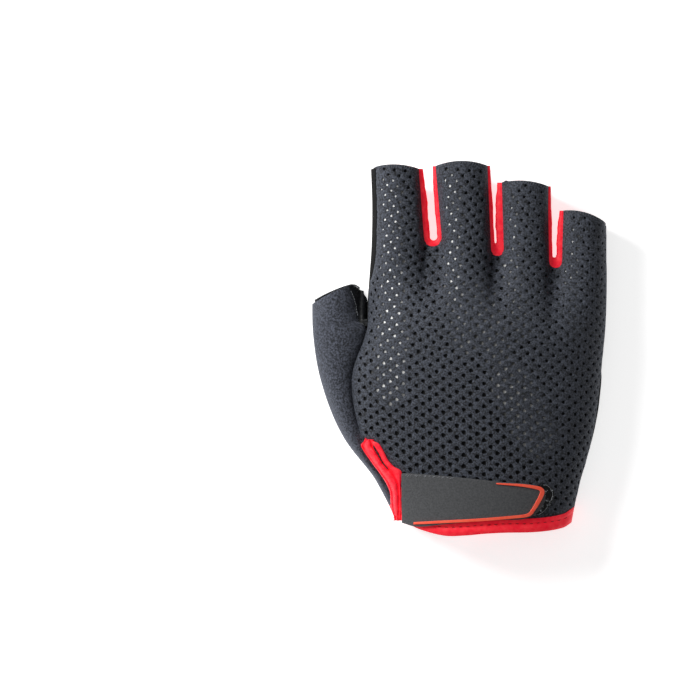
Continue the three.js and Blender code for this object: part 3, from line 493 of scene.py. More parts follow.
CROTCH_Y = thumb_slot.bottom_y - CROTCH_NOTCH
UNDER_VENT = 5.0
UNDER_VENT_TOP = -31.0
UNDER_VENT_FADE = 6.0


def suede_edge(y):
    """The suede's seam along the hand. It runs on under the vent's rolled lips."""
    notch = clamp((y - CROTCH_Y) / CROTCH_NOTCH)
    if y < thumb_slot.bottom_y:
        under_vent = UNDER_VENT * smooth((UNDER_VENT_TOP - y) / UNDER_VENT_FADE)
        return hand_left(y) - SEAM_GAP + SEWN + under_vent - notch * THUMB_HALF
    seam = across_x(read(SUEDE_EDGE, "at", "right", share_of_y(y)))
    return min(seam, slot_left(thumb_slot, y)) - SEAM_GAP


print("glove width at the knuckles:", round(hand_right(20) - hand_left(20), 1), "mm")

# %% [markdown]
# ## Cloth from a grid
# Sewn cloth could be draped by simulation, but these panels are cut and stretched to a known form. So
# each one is a plain grid whose points are moved onto the form. It is then joined to its neighbours and
# given a wall, and its edges are rounded as a cut edge of cloth is.


# %% Helpers for cloth
def deselect():
    bpy.ops.object.select_all(action="DESELECT")


def steps(count):
    return [i / count for i in range(count + 1)]


def push(piece, amounts):
    """Moves each point along its normal by its own amount, in mm."""
    shifts = [v.normal * (amount * MM) for v, amount in zip(piece.data.vertices, amounts)]
    for vertex, shift in zip(piece.data.vertices, shifts):
        vertex.co += shift


def cloth_grid(columns, rows, place, puff=None):
    """A grid whose points are moved to place(column, row), then out by puff(column, row), in mm."""
    deselect()
    across, along = len(columns) - 1, len(rows) - 1
    bpy.ops.mesh.primitive_grid_add(x_subdivisions=across, y_subdivisions=along, size=1)
    sheet = bpy.context.active_object
    at = []
    for vertex in sheet.data.vertices:
        i, j = round((vertex.co.x + 0.5) * across), round((vertex.co.y + 0.5) * along)
        at.append((columns[i], rows[j]))
        vertex.co = Vector(place(columns[i], rows[j])) * MM
    sheet.data.update()
    if puff:
        push(sheet, [puff(*where) for where in at])
    return sheet


def modify(piece, kind, **settings):
    deselect()
    piece.select_set(True)
    bpy.context.view_layer.objects.active = piece
    modifier = piece.modifiers.new(kind.title(), kind)
    for key, value in settings.items():
        setattr(modifier, key, value)
    bpy.ops.object.modifier_apply(modifier=modifier.name)


def join(sheets, name):
    deselect()
    for sheet in sheets:
        sheet.select_set(True)
    bpy.context.view_layer.objects.active = sheets[0]
    if len(sheets) > 1:
        bpy.ops.object.join()
    piece = bpy.context.active_object
    piece.name = piece.data.name = name
    return piece


def merge(piece, gap=0.00003):
    deselect()
    piece.select_set(True)
    bpy.context.view_layer.objects.active = piece
    bpy.ops.object.mode_set(mode="EDIT")
    bpy.ops.mesh.select_all(action="SELECT")
    bpy.ops.mesh.remove_doubles(threshold=gap)
    bpy.ops.mesh.normals_make_consistent(inside=False)
    bpy.ops.object.mode_set(mode="OBJECT")


def point_out(piece, outside):
    """Turns the faces over if they don't face towards the outside point."""
    votes = sum(p.normal.dot(outside - p.center) * p.area for p in piece.data.polygons)
    if votes < 0:
        bpy.ops.object.mode_set(mode="EDIT")
        bpy.ops.mesh.select_all(action="SELECT")
        bpy.ops.mesh.flip_normals()
        bpy.ops.object.mode_set(mode="OBJECT")


def soft_wall(piece, wall, edge=0.3, angle=50):
    modify(piece, "SOLIDIFY", thickness=wall * MM, offset=-1)
    if edge:
        modify(piece, "BEVEL", width=edge * MM, segments=2, limit_method="ANGLE",
               angle_limit=math.radians(angle))
    bpy.ops.object.shade_smooth_by_angle(angle=math.radians(angle))


def settle(piece, slot, material, *nodes):
    """What every finished piece gets: its finish, its body and the solids that it stands for."""
    if material:
        piece.data.materials.clear()
        piece.data.materials.append(material)
    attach(piece, "root")
    if nodes:
        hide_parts(*nodes)
    triangles = sum(len(p.vertices) - 2 for p in piece.data.polygons)
    print(f"{piece.name}: {triangles} triangles")


# %% [markdown]
# ## Finishes
# Each finish starts from what the real cloth is and how it was made. An image of a cloth would be quicker
# to use, but nodes keep the scale right at any distance. Thread and grain sizes are in millimetres, and
# those too fine to show are drawn as coarse as they need to be.


# %% Helpers for finishes
def colour(hex_code):
    """An sRGB hex colour as linear light."""
    parts = [int(hex_code[i : i + 2], 16) / 255 for i in (1, 3, 5)]
    linear = [c / 12.92 if c <= 0.04045 else ((c + 0.055) / 1.055) ** 2.4 for c in parts]
    return (*linear, 1.0)


def add(tree, kind, links=(), inputs=(), **settings):
    """Adds a node with its settings, its sockets' values and the links into it."""
    node = tree.nodes.new(kind)
    for key, value in settings.items():
        setattr(node, key, value)
    for key, value in dict(inputs).items():
        node.inputs[key].default_value = value
    for key, source in dict(links).items():
        tree.links.new(source, node.inputs[key])
    return node


def finish(name, **shader):
    material = bpy.data.materials.new(name)
    material.use_nodes = True
    tree = material.node_tree
    surface = tree.nodes["Principled BSDF"]
    for key, value in shader.items():
        surface.inputs[key.replace("_", " ")].default_value = value
    return material, tree, surface


def mottle(tree, surface, dark, light, size_mm, detail=3.0, low=0.3, high=0.7):
    """A cloudy change between two colours, size_mm across."""
    place = add(tree, "ShaderNodeTexCoord")
    noise = add(tree, "ShaderNodeTexNoise", {"Vector": place.outputs["Object"]},
                {"Scale": 1000 / size_mm, "Detail": detail, "Roughness": 0.6})
    ramp = add(tree, "ShaderNodeValToRGB", {"Fac": noise.outputs["Fac"]})
    ramp.color_ramp.elements[0].position, ramp.color_ramp.elements[1].position = low, high
    ramp.color_ramp.elements[0].color = colour(dark)
    ramp.color_ramp.elements[1].color = colour(light)
    tree.links.new(ramp.outputs["Color"], surface.inputs["Base Color"])
    return ramp


def raise_by(tree, surface, height, depth_mm, strength=1.0):
    bump = add(tree, "ShaderNodeBump", {"Height": height},
               {"Strength": strength, "Distance": depth_mm * MM})
    tree.links.new(bump.outputs["Normal"], surface.inputs["Normal"])
    return bump


# %% [markdown]
# ### The knits
# The back is a spacer cloth of polyester: two knitted faces with fine yarn between them. The upper face
# is dyed heather grey, and its loops break up the light. The inner face is darker, and an attribute mixes
# painted near-white glints into it in bands over the knuckles: a painted highlight that shows through the
# holes. The red strips are nylon with elastane, which has a satin look. They are given a weak light of
# their own, a painted glow that brightens the red, in shaded folds too.

# %% Spacer cloth and stretch cloth
FABRIC_MM = 100
LOOP_PITCH = 0.5


def knit_cloth():
    """The upper face. Its loops are 0.3 mm apart on the real cloth, and drawn 0.5 mm apart to show."""
    material, tree, surface = finish("warp_knit_polyester", Roughness=0.8, Sheen_Weight=0.12,
                                     Sheen_Roughness=0.45, Sheen_Tint=colour("#9aa4b4"))
    mottle(tree, surface, "#101216", "#4e535f", 0.7, 4.0, 0.38, 0.65)
    fabric = add(tree, "ShaderNodeUVMap", uv_map="fabric")
    loops = add(tree, "ShaderNodeTexVoronoi", {"Vector": fabric.outputs["UV"]},
                {"Scale": FABRIC_MM / LOOP_PITCH, "Randomness": 0.35}, voronoi_dimensions="2D")
    raise_by(tree, surface, loops.outputs["Distance"], 0.10, 0.8)
    return material


def knit_backing():
    """The inner face, which shows through the holes: dark, with painted glints mixed in by an attribute.
    """
    material, tree, surface = finish("knit_backing", Roughness=0.9)
    # The attribute mixes the dark face towards near-white, patchy by a noise: a painted highlight where
    # light would catch the inner face through the holes.
    pale = add(tree, "ShaderNodeAttribute", attribute_name="pale", attribute_type="GEOMETRY")
    place = add(tree, "ShaderNodeTexCoord")
    patchy = add(tree, "ShaderNodeTexNoise", {"Vector": place.outputs["Object"]},
                 {"Scale": 1000 / 3.5, "Detail": 1.0})
    level = add(tree, "ShaderNodeMapRange", {"Value": patchy.outputs["Fac"]},
                {"From Min": 0.36, "From Max": 0.52, "To Min": 0.4, "To Max": 1.0})
    amount = add(tree, "ShaderNodeMath", {0: pale.outputs["Fac"], 1: level.outputs["Result"]},
                 operation="MULTIPLY")
    shade = add(tree, "ShaderNodeMix", {"Factor": amount.outputs["Value"]}, data_type="RGBA")
    shade.inputs["A"].default_value = colour("#0b0c0e")
    shade.inputs["B"].default_value = colour("#f4f4f2")
    tree.links.new(shade.outputs["Result"], surface.inputs["Base Color"])
    return material


def stretch_cloth():
    """Nylon and elastane, knitted in fine ribs that are drawn 1.1 mm apart."""
    # Its emission is a painted glow: the red gets a light of its own, in shade too.
    material, tree, surface = finish("elastane_knit", Roughness=0.55, Specular_IOR_Level=0.3,
                                     Emission_Color=colour("#ff1430"), Emission_Strength=0.25)
    mottle(tree, surface, "#e8082a", "#ff3c44", 2.2, 2.0)
    place = add(tree, "ShaderNodeTexCoord")
    ribs = add(tree, "ShaderNodeTexNoise", {"Vector": place.outputs["Object"]},
               {"Scale": 1000 / 1.1, "Detail": 2.0})
    raise_by(tree, surface, ribs.outputs["Fac"], 0.12, 0.6)
    return material


# %% [markdown]
# ### Suede, leather and trims
# The thumb is brushed microfibre, whose short nap catches a soft light along its edges: sheen gives that.
# The palm is polyurethane leather, pressed between rollers into small raised grains. The trims are plain:
# a woven strap, a moulded hook tape, printed silicone and polyester thread. They need a grain alone.

# %% Suede and leather
def suede():
    """Brushed microfibre, its nap in small clouds of lighter and darker hair."""
    material, tree, surface = finish("brushed_microfibre", Roughness=0.95, Sheen_Weight=0.35,
                                     Sheen_Roughness=0.6, Sheen_Tint=colour("#8d93a2"))
    mottle(tree, surface, "#15171c", "#4b4f5b", 0.8, 4.0, 0.4, 0.63)
    place = add(tree, "ShaderNodeTexCoord")
    nap = add(tree, "ShaderNodeTexNoise", {"Vector": place.outputs["Object"]},
              {"Scale": 1000 / 0.5, "Detail": 3.0})
    raise_by(tree, surface, nap.outputs["Fac"], 0.12, 0.7)
    return material


def leather():
    """Polyurethane leather with raised grains 1.25 mm apart, a little wider than they are long."""
    material, tree, surface = finish("embossed_leather", Roughness=0.42)
    mottle(tree, surface, "#0e0f11", "#1c1e21", 3.0, 2.0)
    place = add(tree, "ShaderNodeTexCoord")
    squash = add(tree, "ShaderNodeMapping", {"Vector": place.outputs["Object"]},
                 {"Scale": (0.8, 1.25, 1.0)})
    grains = add(tree, "ShaderNodeTexVoronoi", {"Vector": squash.outputs["Vector"]},
                 {"Scale": 1000 / 1.25, "Randomness": 0.4}, feature="F1")
    raise_by(tree, surface, grains.outputs["Distance"], 0.22, 0.9)
    return material


# %% Strap, tape, print and thread
def plain_cloth(name, dark, light, grain_mm, roughness, depth_mm, **shader):
    """A finish with a fine grain alone: woven strap, print, thread, film edge, and a leather side
    darkened as painted shade.
    """
    material, tree, surface = finish(name, Roughness=roughness, **shader)
    mottle(tree, surface, dark, light, grain_mm, 4.0)
    place = add(tree, "ShaderNodeTexCoord")
    grain = add(tree, "ShaderNodeTexNoise", {"Vector": place.outputs["Object"]},
                {"Scale": 1000 / grain_mm, "Detail": 4.0})
    raise_by(tree, surface, grain.outputs["Fac"], depth_mm, 0.8)
    return material


def hook_tape():
    """Moulded nylon hooks: black and glossy, with small near-white glints painted into the colour where
    their heads would catch light.
    """
    material, tree, surface = finish("moulded_hooks", Roughness=0.28)
    ramp = mottle(tree, surface, "#020203", "#c8ccd2", 0.75, 1.0, 0.6, 0.76)
    raise_by(tree, surface, ramp.outputs["Color"], 0.3, 1.0)
    return material


# %% The glove's finishes
knit_finish = knit_cloth()
backing_finish = knit_backing()
red_finish = stretch_cloth()
suede_finish = suede()
leather_finish = leather()
strap_finish = plain_cloth("brushed_loop_cloth", "#434446", "#58595b", 0.7, 0.85, 0.05)
hook_finish = hook_tape()
# The print's emission is a painted glow that brightens it, in shade too.
ink_finish = plain_cloth("silicone_print", "#ff5038", "#ff6a4e", 2.0, 0.5, 0.02,
                         Emission_Color=colour("#ff5a40"), Emission_Strength=0.1)
thread_finish = plain_cloth("polyester_thread", "#c9c5ba", "#e4e1d6", 0.5, 0.6, 0.03)
red_thread_finish = plain_cloth("red_thread", "#a80c20", "#d01c30", 0.5, 0.6, 0.03)
# The strands in the vent's slit are near black: painted shade.
slit_shade_finish = plain_cloth("slit_painted_shade", "#101114", "#2a2c31", 0.5, 0.6, 0.03)
grey_thread_finish = plain_cloth("grey_thread", "#777a80", "#9a9da2", 0.5, 0.6, 0.03)
tip_thread_finish = plain_cloth("fine_grey_thread", "#3a3d43", "#666a71", 0.5, 0.7, 0.03)
# The index finger's side is the leather darkened to near black: painted shade.
painted_shade_side_finish = plain_cloth("leather_side_painted_shade", "#020203", "#060708", 1.0, 0.95, 0.05,
                          Specular_IOR_Level=0.1)
edge_finish = plain_cloth("welded_film", "#5c6066", "#8f9399", 0.6, 0.3, 0.02)
print("finishes:", len(bpy.data.materials))

# %% [markdown]
# ## Curves and stitches
# A real seam is one thread that dives in and out of the cloth, and only its short upper lengths show. A
# cord along the whole seam would cost far more than it shows, so each length is a small spindle of thread
# of its own. It is laid on the piece that it sews by a ray straight down, or up from under the palm.

# %% Smooth curves
def curve_points(points, count, closed=False):
    """Points along a smooth curve through the given points."""
    n, out = len(points), []
    spans = n if closed else n - 1
    for i in range(spans):
        around = [points[(i + j) % n] if closed else points[clamp(i + j, 0, n - 1)]
                  for j in (-1, 0, 1, 2)]
        a, b, c, d = (np.array(p, float) for p in around)
        for j in range(count):
            t = j / count
            out.append(0.5 * (2 * b + (c - a) * t + (2 * a - 5 * b + 4 * c - d) * t * t
                              + (3 * b - a - 3 * c + d) * t ** 3))
    if not closed:
        out.append(np.array(points[-1], float))
    return out


# %% One row of stitches, laid on the surface of the piece that it sews
THREAD_SIDES = 5
THREAD_RINGS = [(0.12, 0.6), (0.5, 1.0), (0.88, 0.6)]


def along_line(line, at):
    gaps = [np.hypot(*(b[:2] - a[:2])) for a, b in zip(line, line[1:])]
    runs = np.concatenate([[0], np.cumsum(gaps)])
    return [np.array([np.interp(s, runs, [q[k] for q in line]) for k in (0, 1)]) for s in at], runs[-1]


def on_piece(piece, x, y, above):
    start = Vector((x, y, 80 if above else -40)) * MM
    hit, place, normal, _ = piece.ray_cast(start, Vector((0, 0, -1 if above else 1)))
    return (place, normal) if hit else (None, None)


def stitches(piece, line, thread, above=True, pitch=2.05, length=1.45, thick=0.4, slant=0.0):
    """A row of stitches along a flat line over the piece: each is a small spindle of thread."""
    line = [np.array(q, float)[:2] for q in line]
    _, total = along_line(line, [0])
    count = int(total / pitch)
    starts = [(i + 0.5) * total / count - length / 2 for i in range(count)]
    firsts, _ = along_line(line, starts)
    seconds, _ = along_line(line, [s + length for s in starts])
    points, faces = [], []
    for a, b in zip(firsts, seconds):
        if slant:
            way = (b - a) / max(np.hypot(*(b - a)), 1e-9)
            side = np.array([-way[1], way[0]]) * slant
            a, b = a - side, b + side
        (p, n), (q, _) = (on_piece(piece, float(c[0]), float(c[1]), above) for c in (a, b))
        if p is None or q is None or (p - q).length > 2 * (length + 2 * abs(slant)) * MM:
            continue
        axis = (q - p).normalized()
        out = (n - axis * n.dot(axis)).normalized()
        across = axis.cross(out)
        first, half = len(points), thick / 2 * MM
        points.append(p - out * half * 0.4)
        for share, size in THREAD_RINGS:
            centre = p.lerp(q, share) + out * half * (0.9 * size - 0.3)
            for k in range(THREAD_SIDES):
                turn = math.tau * k / THREAD_SIDES
                points.append(centre + (across * math.cos(turn) + out * math.sin(turn)) * half * size)
        points.append(q - out * half * 0.4)
        for k in range(THREAD_SIDES):
            k2 = (k + 1) % THREAD_SIDES
            faces.append((first, first + 1 + k2, first + 1 + k))
            for ring in range(2):
                low = first + 1 + ring * THREAD_SIDES
                faces.append((low + k, low + k2, low + THREAD_SIDES + k2, low + THREAD_SIDES + k))
            last = first + 1 + 2 * THREAD_SIDES
            faces.append((last + k, last + k2, last + THREAD_SIDES))
    mesh = bpy.data.meshes.new("stitches")
    mesh.from_pydata(points, [], faces)
    mesh.materials.append(thread)
    mesh.polygons.foreach_set("use_smooth", [True] * len(mesh.polygons))
    row = bpy.data.objects.new("stitches", mesh)
    bpy.context.collection.objects.link(row)
    deselect()
    row.select_set(True)
    bpy.context.view_layer.objects.active = row
    bpy.ops.object.mode_set(mode="EDIT")
    bpy.ops.mesh.select_all(action="SELECT")
    bpy.ops.mesh.normals_make_consistent(inside=False)
    bpy.ops.object.mode_set(mode="OBJECT")
    return row


def sewn(piece, material, rows):
    """The piece joined with its rows of stitches."""
    name = piece.name
    piece.data.materials.clear()
    piece.data.materials.append(material)
    return join([piece, *rows], name)


# %% [markdown]
# ## The perforated back
# The back is a cloth with about a thousand small round holes in staggered rows. They could be cut by a
# boolean or drawn in the finish, but a boolean leaves ragged edges on thin cloth, and drawn holes have no
# rim. So one hole with its patch of cloth is modelled once and copied in brick order over the flat cloth.
# The flat cloth is then cut to the panel's outline and laid over the hand, so that the rows follow it.

# %% Flat cloth to hand: the distance across the cloth is measured over the arch
CLOTH_CENTRE = 8.0
ARC_STEP = 1.5
ARC_LEVELS = np.arange(-78.0, 78.1, ARC_STEP)


def arc_row(y):
    turns = np.linspace(0, math.pi, 121)
    xs = mix(hand_left(y), hand_right(y), (1 - np.cos(turns)) / 2)
    zs = np.array([hand_arch(float(x), y) for x in xs])
    run = np.concatenate([[0], np.cumsum(np.hypot(np.diff(xs), np.diff(zs)))])
    return xs, run - np.interp(CLOTH_CENTRE, xs, run)


ARC_ROWS = [arc_row(float(y)) for y in ARC_LEVELS]


def between_levels(value, y, known, wanted):
    at = clamp((y - ARC_LEVELS[0]) / ARC_STEP, 0, len(ARC_LEVELS) - 1.001)
    i = int(at)
    low, high = (float(np.interp(value, row[known], row[wanted])) for row in ARC_ROWS[i : i + 2])
    return mix(low, high, at - i)


def cloth_to_x(run, y):
    return between_levels(run, y, 1, 0)


def x_to_cloth(x, y):
    return between_levels(x, y, 0, 1)


# %% The panel's outline
INDEX_SIDE = 1.4
INDEX_SIDE_FOOT = 23.0
INDEX_SIDE_FADE = 12.0
OUTLINE_STEP = 1.2


def index_side(y):
    """How far the cloth stays back from the index finger's side, where the leather shows."""
    return INDEX_SIDE * smooth((y - INDEX_SIDE_FOOT) / INDEX_SIDE_FADE)


def wire(points):
    """A closed outline as edges without a face, in mm."""
    bpy.ops.mesh.primitive_circle_add(vertices=len(points), radius=1, fill_type="NOTHING")
    border = bpy.context.active_object
    for vertex in border.data.vertices:
        vertex.co = (*points[vertex.index], 0)
    return border


def spread(low, high, step):
    return np.linspace(low, high, max(2, round(abs(high - low) / step) + 1))


def back_outline():
    """Up the thumb's side, over and between the fingers, down the far side and along the hem."""
    path = []
    start = hem_top(cloth_edge, "back") + HEM_GAP
    tip = back_tip(fingers[0], 0)
    for y in spread(start, tip, OUTLINE_STEP)[:-1]:
        path.append((cloth_edge(y) + index_side(y), y))
    for finger in fingers:
        for t in steps(16):
            y = back_tip(finger, t)
            x = mix(finger.left(y), finger.right(y), t)
            if finger.before is None:
                x = max(x, finger.left(y) + index_side(y))
            path.append((x, y))
        slot = finger.after
        if slot is None:
            continue
        top, after = arch_top(slot), fingers[fingers.index(finger) + 1]
        for y in spread(back_tip(finger, 1), top, OUTLINE_STEP)[1:-1]:
            path.append((slot.middle(y) - slot.half(y), y))
        for turn in np.linspace(0, math.pi, 9):
            path.append((slot.middle(top) - slot.half(top) * math.cos(turn),
                         top - slot.half(slot.bottom_y) * math.sin(turn)))
        for y in spread(top, back_tip(after, 0), OUTLINE_STEP)[1:-1]:
            path.append((slot.middle(y) + slot.half(y), y))
    foot = hem_top(hand_right, "back") + HEM_GAP
    for y in spread(back_tip(fingers[-1], 1), foot, OUTLINE_STEP)[1:-1]:
        path.append((hand_right(y), y))
    for t in reversed(spread(0, 1, 1 / 50)[1:]):
        y = hem_top(lambda level: mix(cloth_edge(level), hand_right(level), t), "back") + HEM_GAP
        path.append((mix(cloth_edge(y), hand_right(y), t), y))
    return path


outline = [(x_to_cloth(x, y), y) for x, y in back_outline()]
print("outline points:", len(outline))

# %% One hole, modelled once
BRICK_WIDE = 5.0
BRICK_HIGH = 2.2
HOLE = 0.64
HOLE_LOBE = 0.16
DIMPLE = 0.98
SIDES = 12
deselect()
bpy.ops.mesh.primitive_circle_add(vertices=SIDES, radius=2.0, fill_type="NGON")
tile = bpy.context.active_object
bpy.ops.object.mode_set(mode="EDIT")
bpy.ops.mesh.select_all(action="SELECT")
bpy.ops.mesh.inset(thickness=0.6)
bpy.ops.mesh.inset(thickness=0.6)
bpy.ops.object.mode_set(mode="OBJECT")
WIDE, HIGH = BRICK_WIDE / 2, BRICK_HIGH / 2
BRICK_EDGE = [(WIDE, 0), (WIDE, HIGH), (WIDE / 2, HIGH), (0, HIGH), (-WIDE / 2, HIGH),
              (-WIDE, HIGH), (-WIDE, 0), (-WIDE, -HIGH), (-WIDE / 2, -HIGH), (0, -HIGH),
              (WIDE / 2, -HIGH), (WIDE, -HIGH)]
RING_LIMITS = (1.7, 1.1)
tile_points, tile_rings = [], []
for vertex in tile.data.vertices:
    away, turn = vertex.co.length, math.atan2(vertex.co.y, vertex.co.x)
    side = round(turn / math.tau * SIDES) % SIDES
    ring = sum(away <= limit for limit in RING_LIMITS)
    corner = side * math.tau / SIDES
    reach = (0, DIMPLE, HOLE)[ring]
    tile_points.append(BRICK_EDGE[side] if ring == 0 else
                       (reach * math.cos(corner), reach * math.sin(corner)))
    tile_rings.append(ring)
tile_faces = [tuple(p.vertices) for p in tile.data.polygons]
bpy.data.objects.remove(tile)
print("one hole:", len(tile_points), "points,", len(tile_faces), "faces")

# %% The cloth is stretched as it is sewn, so the rows of holes fall to the right and crowd to the tips
ROW_FALL = 0.13
ROW_BEND = 0.0009
ROW_LEVELS_OUT = 0.6
COLUMN_LEAN = 0.14
LEAN_START = -10
LEAN_LENGTH = 80
LEAN_MIDDLE = 30
WIDE_AT_WRIST = 1.05
WIDE_AT_TIPS = 0.9
CROWD_LENGTH = 75
LEVEL_START = 25
LEVEL_LENGTH = 45


def stretch(u, v):
    """Where a point of the even pattern lies on the flat cloth."""
    crowd = mix(WIDE_AT_WRIST, WIDE_AT_TIPS, smooth((v - LEAN_START) / CROWD_LENGTH))
    lean = COLUMN_LEAN * (clamp(v - LEAN_START, 0, LEAN_LENGTH) - LEAN_MIDDLE)
    level = ROW_LEVELS_OUT * smooth((v - LEVEL_START) / LEVEL_LENGTH)
    fall = (ROW_FALL * u - ROW_BEND * u * u) * (1 - level)
    return u * crowd + lean, v - fall


# %% Bands along the knuckles where glints are painted on the inner face, and where the holes are smaller
PAINTED_GLINT_BANDS = table("x0 y0 x1 y1 half strength", [
    [-27.5, 62, -26.5, 8, 4.2, 1.0],
    [-26.5, 8, -27.0, -16, 5.5, 0.75],
    [-3.5, 65, -2.5, 22, 3.2, 0.9],
    [-2.5, 22, 2.0, 0, 3.5, 0.4],
    [19.0, 56, 19.5, 34, 3.0, 0.75],
    [19.5, 34, 24.0, 6, 3.5, 0.35],
    [43.0, 46, 43.0, 28, 2.6, 0.8],
    [43.0, 28, 44.0, 6, 2.5, 0.3],
    [8.0, 22, 14.0, -2, 5.0, 0.35],
    [20.0, -14, 30.0, -34, 8.0, 0.5],
])


def beside_line(row, x, y):
    """How far along the row's line a point lies, as a share, and how far away from it."""
    dx, dy = row["x1"] - row["x0"], row["y1"] - row["y0"]
    t = clamp(((x - row["x0"]) * dx + (y - row["y0"]) * dy) / (dx * dx + dy * dy))
    return t, math.hypot(x - row["x0"] - t * dx, y - row["y0"] - t * dy)


def painted_glint_at(x, y):
    best = 0.0
    for row in PAINTED_GLINT_BANDS:
        _, away = beside_line(row, x, y)
        best = max(best, row["strength"] * smooth((row["half"] + 1.2 - away) / 2.4))
    return best


# %% Copies in brick order, wherever a whole brick fits inside the outline
HOLE_MARGIN = 0.35


class Outline:
    """A closed flat outline, which says whether a point lies inside it."""
    def __init__(self, points):
        self.xs, self.ys = np.array([p[0] for p in points]), np.array([p[1] for p in points])
        self.next_xs, self.next_ys = np.roll(self.xs, -1), np.roll(self.ys, -1)
        self.rises = np.where(self.next_ys == self.ys, 1, self.next_ys - self.ys)

    def holds(self, x, y):
        crosses = (self.ys > y) != (self.next_ys > y)
        reach = (self.next_xs - self.xs) * (y - self.ys) / self.rises + self.xs
        return bool(np.count_nonzero(crosses & (x < reach)) % 2)


def nearest_of(points):
    """A tree that finds the nearest of some flat points."""
    tree = kdtree.KDTree(len(points))
    for i, p in enumerate(points):
        tree.insert((p[0], p[1], 0), i)
    tree.balance()
    return tree


back_edge = Outline(outline)
edge_points = []
for (x, y), (next_x, next_y) in zip(outline, outline[1:] + outline[:1]):
    edge_points += [(x, y), ((x + next_x) / 2, (y + next_y) / 2)]
edge_tree = nearest_of(edge_points)


def edge_distance(x, y):
    return edge_tree.find((x, y, 0))[2]


def fits(centre):
    for x, y in BRICK_EDGE:
        px, py = stretch(centre[0] + x, centre[1] + y)
        if not back_edge.holds(px, py) or edge_distance(px, py) < HOLE_MARGIN:
            return False
    return True


# %% How big each hole is, and how many fit
WIDER_AT_WRIST = 1.32
WRIST_FADE = (-45, 70)
SMALLER_AT_SIDE = 0.24
SIDE_FADE = (14, 22)
SMALLER_WHERE_GLINT = 0.28
SIZE_CHANGE = 0.12


def hole_size(u, v):
    """Holes open towards the wrist, and close on the little finger's side and over the knuckles."""
    run, y = stretch(u, v)
    x = cloth_to_x(run, y)
    size = mix(WIDER_AT_WRIST, 1.0, smooth((y - WRIST_FADE[0]) / WRIST_FADE[1]))
    size = size * (1 - SMALLER_AT_SIDE * smooth((x - SIDE_FADE[0]) / SIDE_FADE[1]))
    return size * (1 - SMALLER_WHERE_GLINT * painted_glint_at(x, y)) * (0.94 + SIZE_CHANGE * rng.random())


ROWS_EACH_WAY = 48
COLUMNS_EACH_WAY = 22
centres = []
for row in range(-ROWS_EACH_WAY, ROWS_EACH_WAY):
    for column in range(-COLUMNS_EACH_WAY, COLUMNS_EACH_WAY):
        x = (column + (row % 2) / 2) * BRICK_WIDE
        if fits((x, row * BRICK_HIGH)):
            centres.append((x, row * BRICK_HIGH))
print("holes:", len(centres))

# %% Every hole gets its own size and an outline that isn't quite round
points, faces, hole_centres, hole_radii = [], [], [], []
for x, y in centres:
    first, size = len(points), hole_size(x, y)
    hole_centres.append(stretch(x, y))
    hole_radii.append(size)
    way = math.tau * rng.random()
    for (px, py), ring in zip(tile_points, tile_rings):
        lobe = 1 + HOLE_LOBE * math.cos(3 * math.atan2(py, px) + way)
        grown = (1.0, clamp(size, 0.8, 1.06), size * lobe)[ring]
        points.append((*stretch(x + px * grown, y + py * grown), 0))
    faces.extend(tuple(first + v for v in face) for face in tile_faces)
flat = bpy.data.meshes.new("back_cloth")
flat.from_pydata(points, [], faces)
cloth = bpy.data.objects.new("back_cloth", flat)
bpy.context.collection.objects.link(cloth)
print("cloth round the holes:", len(faces), "faces")

# %% The outline joins the bricks, and the strip between them is filled
cloth = join([cloth, wire(outline)], "back_cloth")
bpy.ops.object.mode_set(mode="EDIT")
bpy.ops.mesh.select_mode(type="EDGE")
bpy.ops.mesh.select_all(action="SELECT")
bpy.ops.mesh.remove_doubles(threshold=0.02)
bpy.ops.mesh.select_all(action="DESELECT")
bpy.ops.mesh.select_non_manifold(extend=False, use_wire=True, use_boundary=True,
                                 use_multi_face=False, use_non_contiguous=False, use_verts=False)
bpy.ops.mesh.fill(use_beauty=True)
bpy.ops.mesh.select_mode(type="FACE")
bpy.ops.mesh.select_all(action="DESELECT")
bpy.ops.mesh.select_face_by_sides(number=SIDES, type="EQUAL")
bpy.ops.mesh.delete(type="ONLY_FACE")
bpy.ops.mesh.select_all(action="SELECT")
bpy.ops.mesh.normals_make_consistent(inside=False)
bpy.ops.object.mode_set(mode="OBJECT")
point_out(cloth, Vector((0, 0, 1000)))
fabric = cloth.data.uv_layers.new(name="fabric")
for loop in cloth.data.loops:
    x, y, _ = cloth.data.vertices[loop.vertex_index].co
    fabric.data[loop.index].uv = (x / FABRIC_MM, y / FABRIC_MM)
print("flat cloth:", len(cloth.data.polygons), "faces")

# %% Laid over the hand, with rolled edges and a dimple round each hole
KNIT_WALL = 0.85
EDGE_ROLL = 1.3
EDGE_DROP = 0.35
DIMPLE_DEPTH = 0.24
SMOOTH_ANGLE = math.radians(48)
hole_tree = nearest_of(hole_centres)
sinks = []
for vertex in cloth.data.vertices:
    run, y, _ = vertex.co
    roll = (1 - clamp(edge_distance(run, y) / EDGE_ROLL)) ** 2 * EDGE_DROP
    _, nearest, away = hole_tree.find((run, y, 0))
    dimple = DIMPLE_DEPTH if away < 0.5 * (HOLE * hole_radii[nearest] + DIMPLE) else 0.0
    sinks.append(-(roll + dimple))
    x = cloth_to_x(run, y)
    vertex.co = Vector((x, y, back_height(x, y))) * MM
cloth.data.update()
push(cloth, sinks)
modify(cloth, "SOLIDIFY", thickness=KNIT_WALL * MM, offset=-1)
bpy.ops.object.shade_smooth_by_angle(angle=SMOOTH_ANGLE)
cloth.data.materials.append(knit_finish)
print("back cloth:", sum(len(p.vertices) - 2 for p in cloth.data.polygons), "triangles")

# %% [markdown]
# ## The cloth's inner face
# A spacer cloth has a second knitted face under the holes. It could be the same mesh pushed down, but it
# has no holes, so a plain grid of the panel's columns is lighter and closes the glove. In bands over the
# knuckles it rises against the holes, and its colour there is painted near-white: painted glints that
# show through as bright dots.

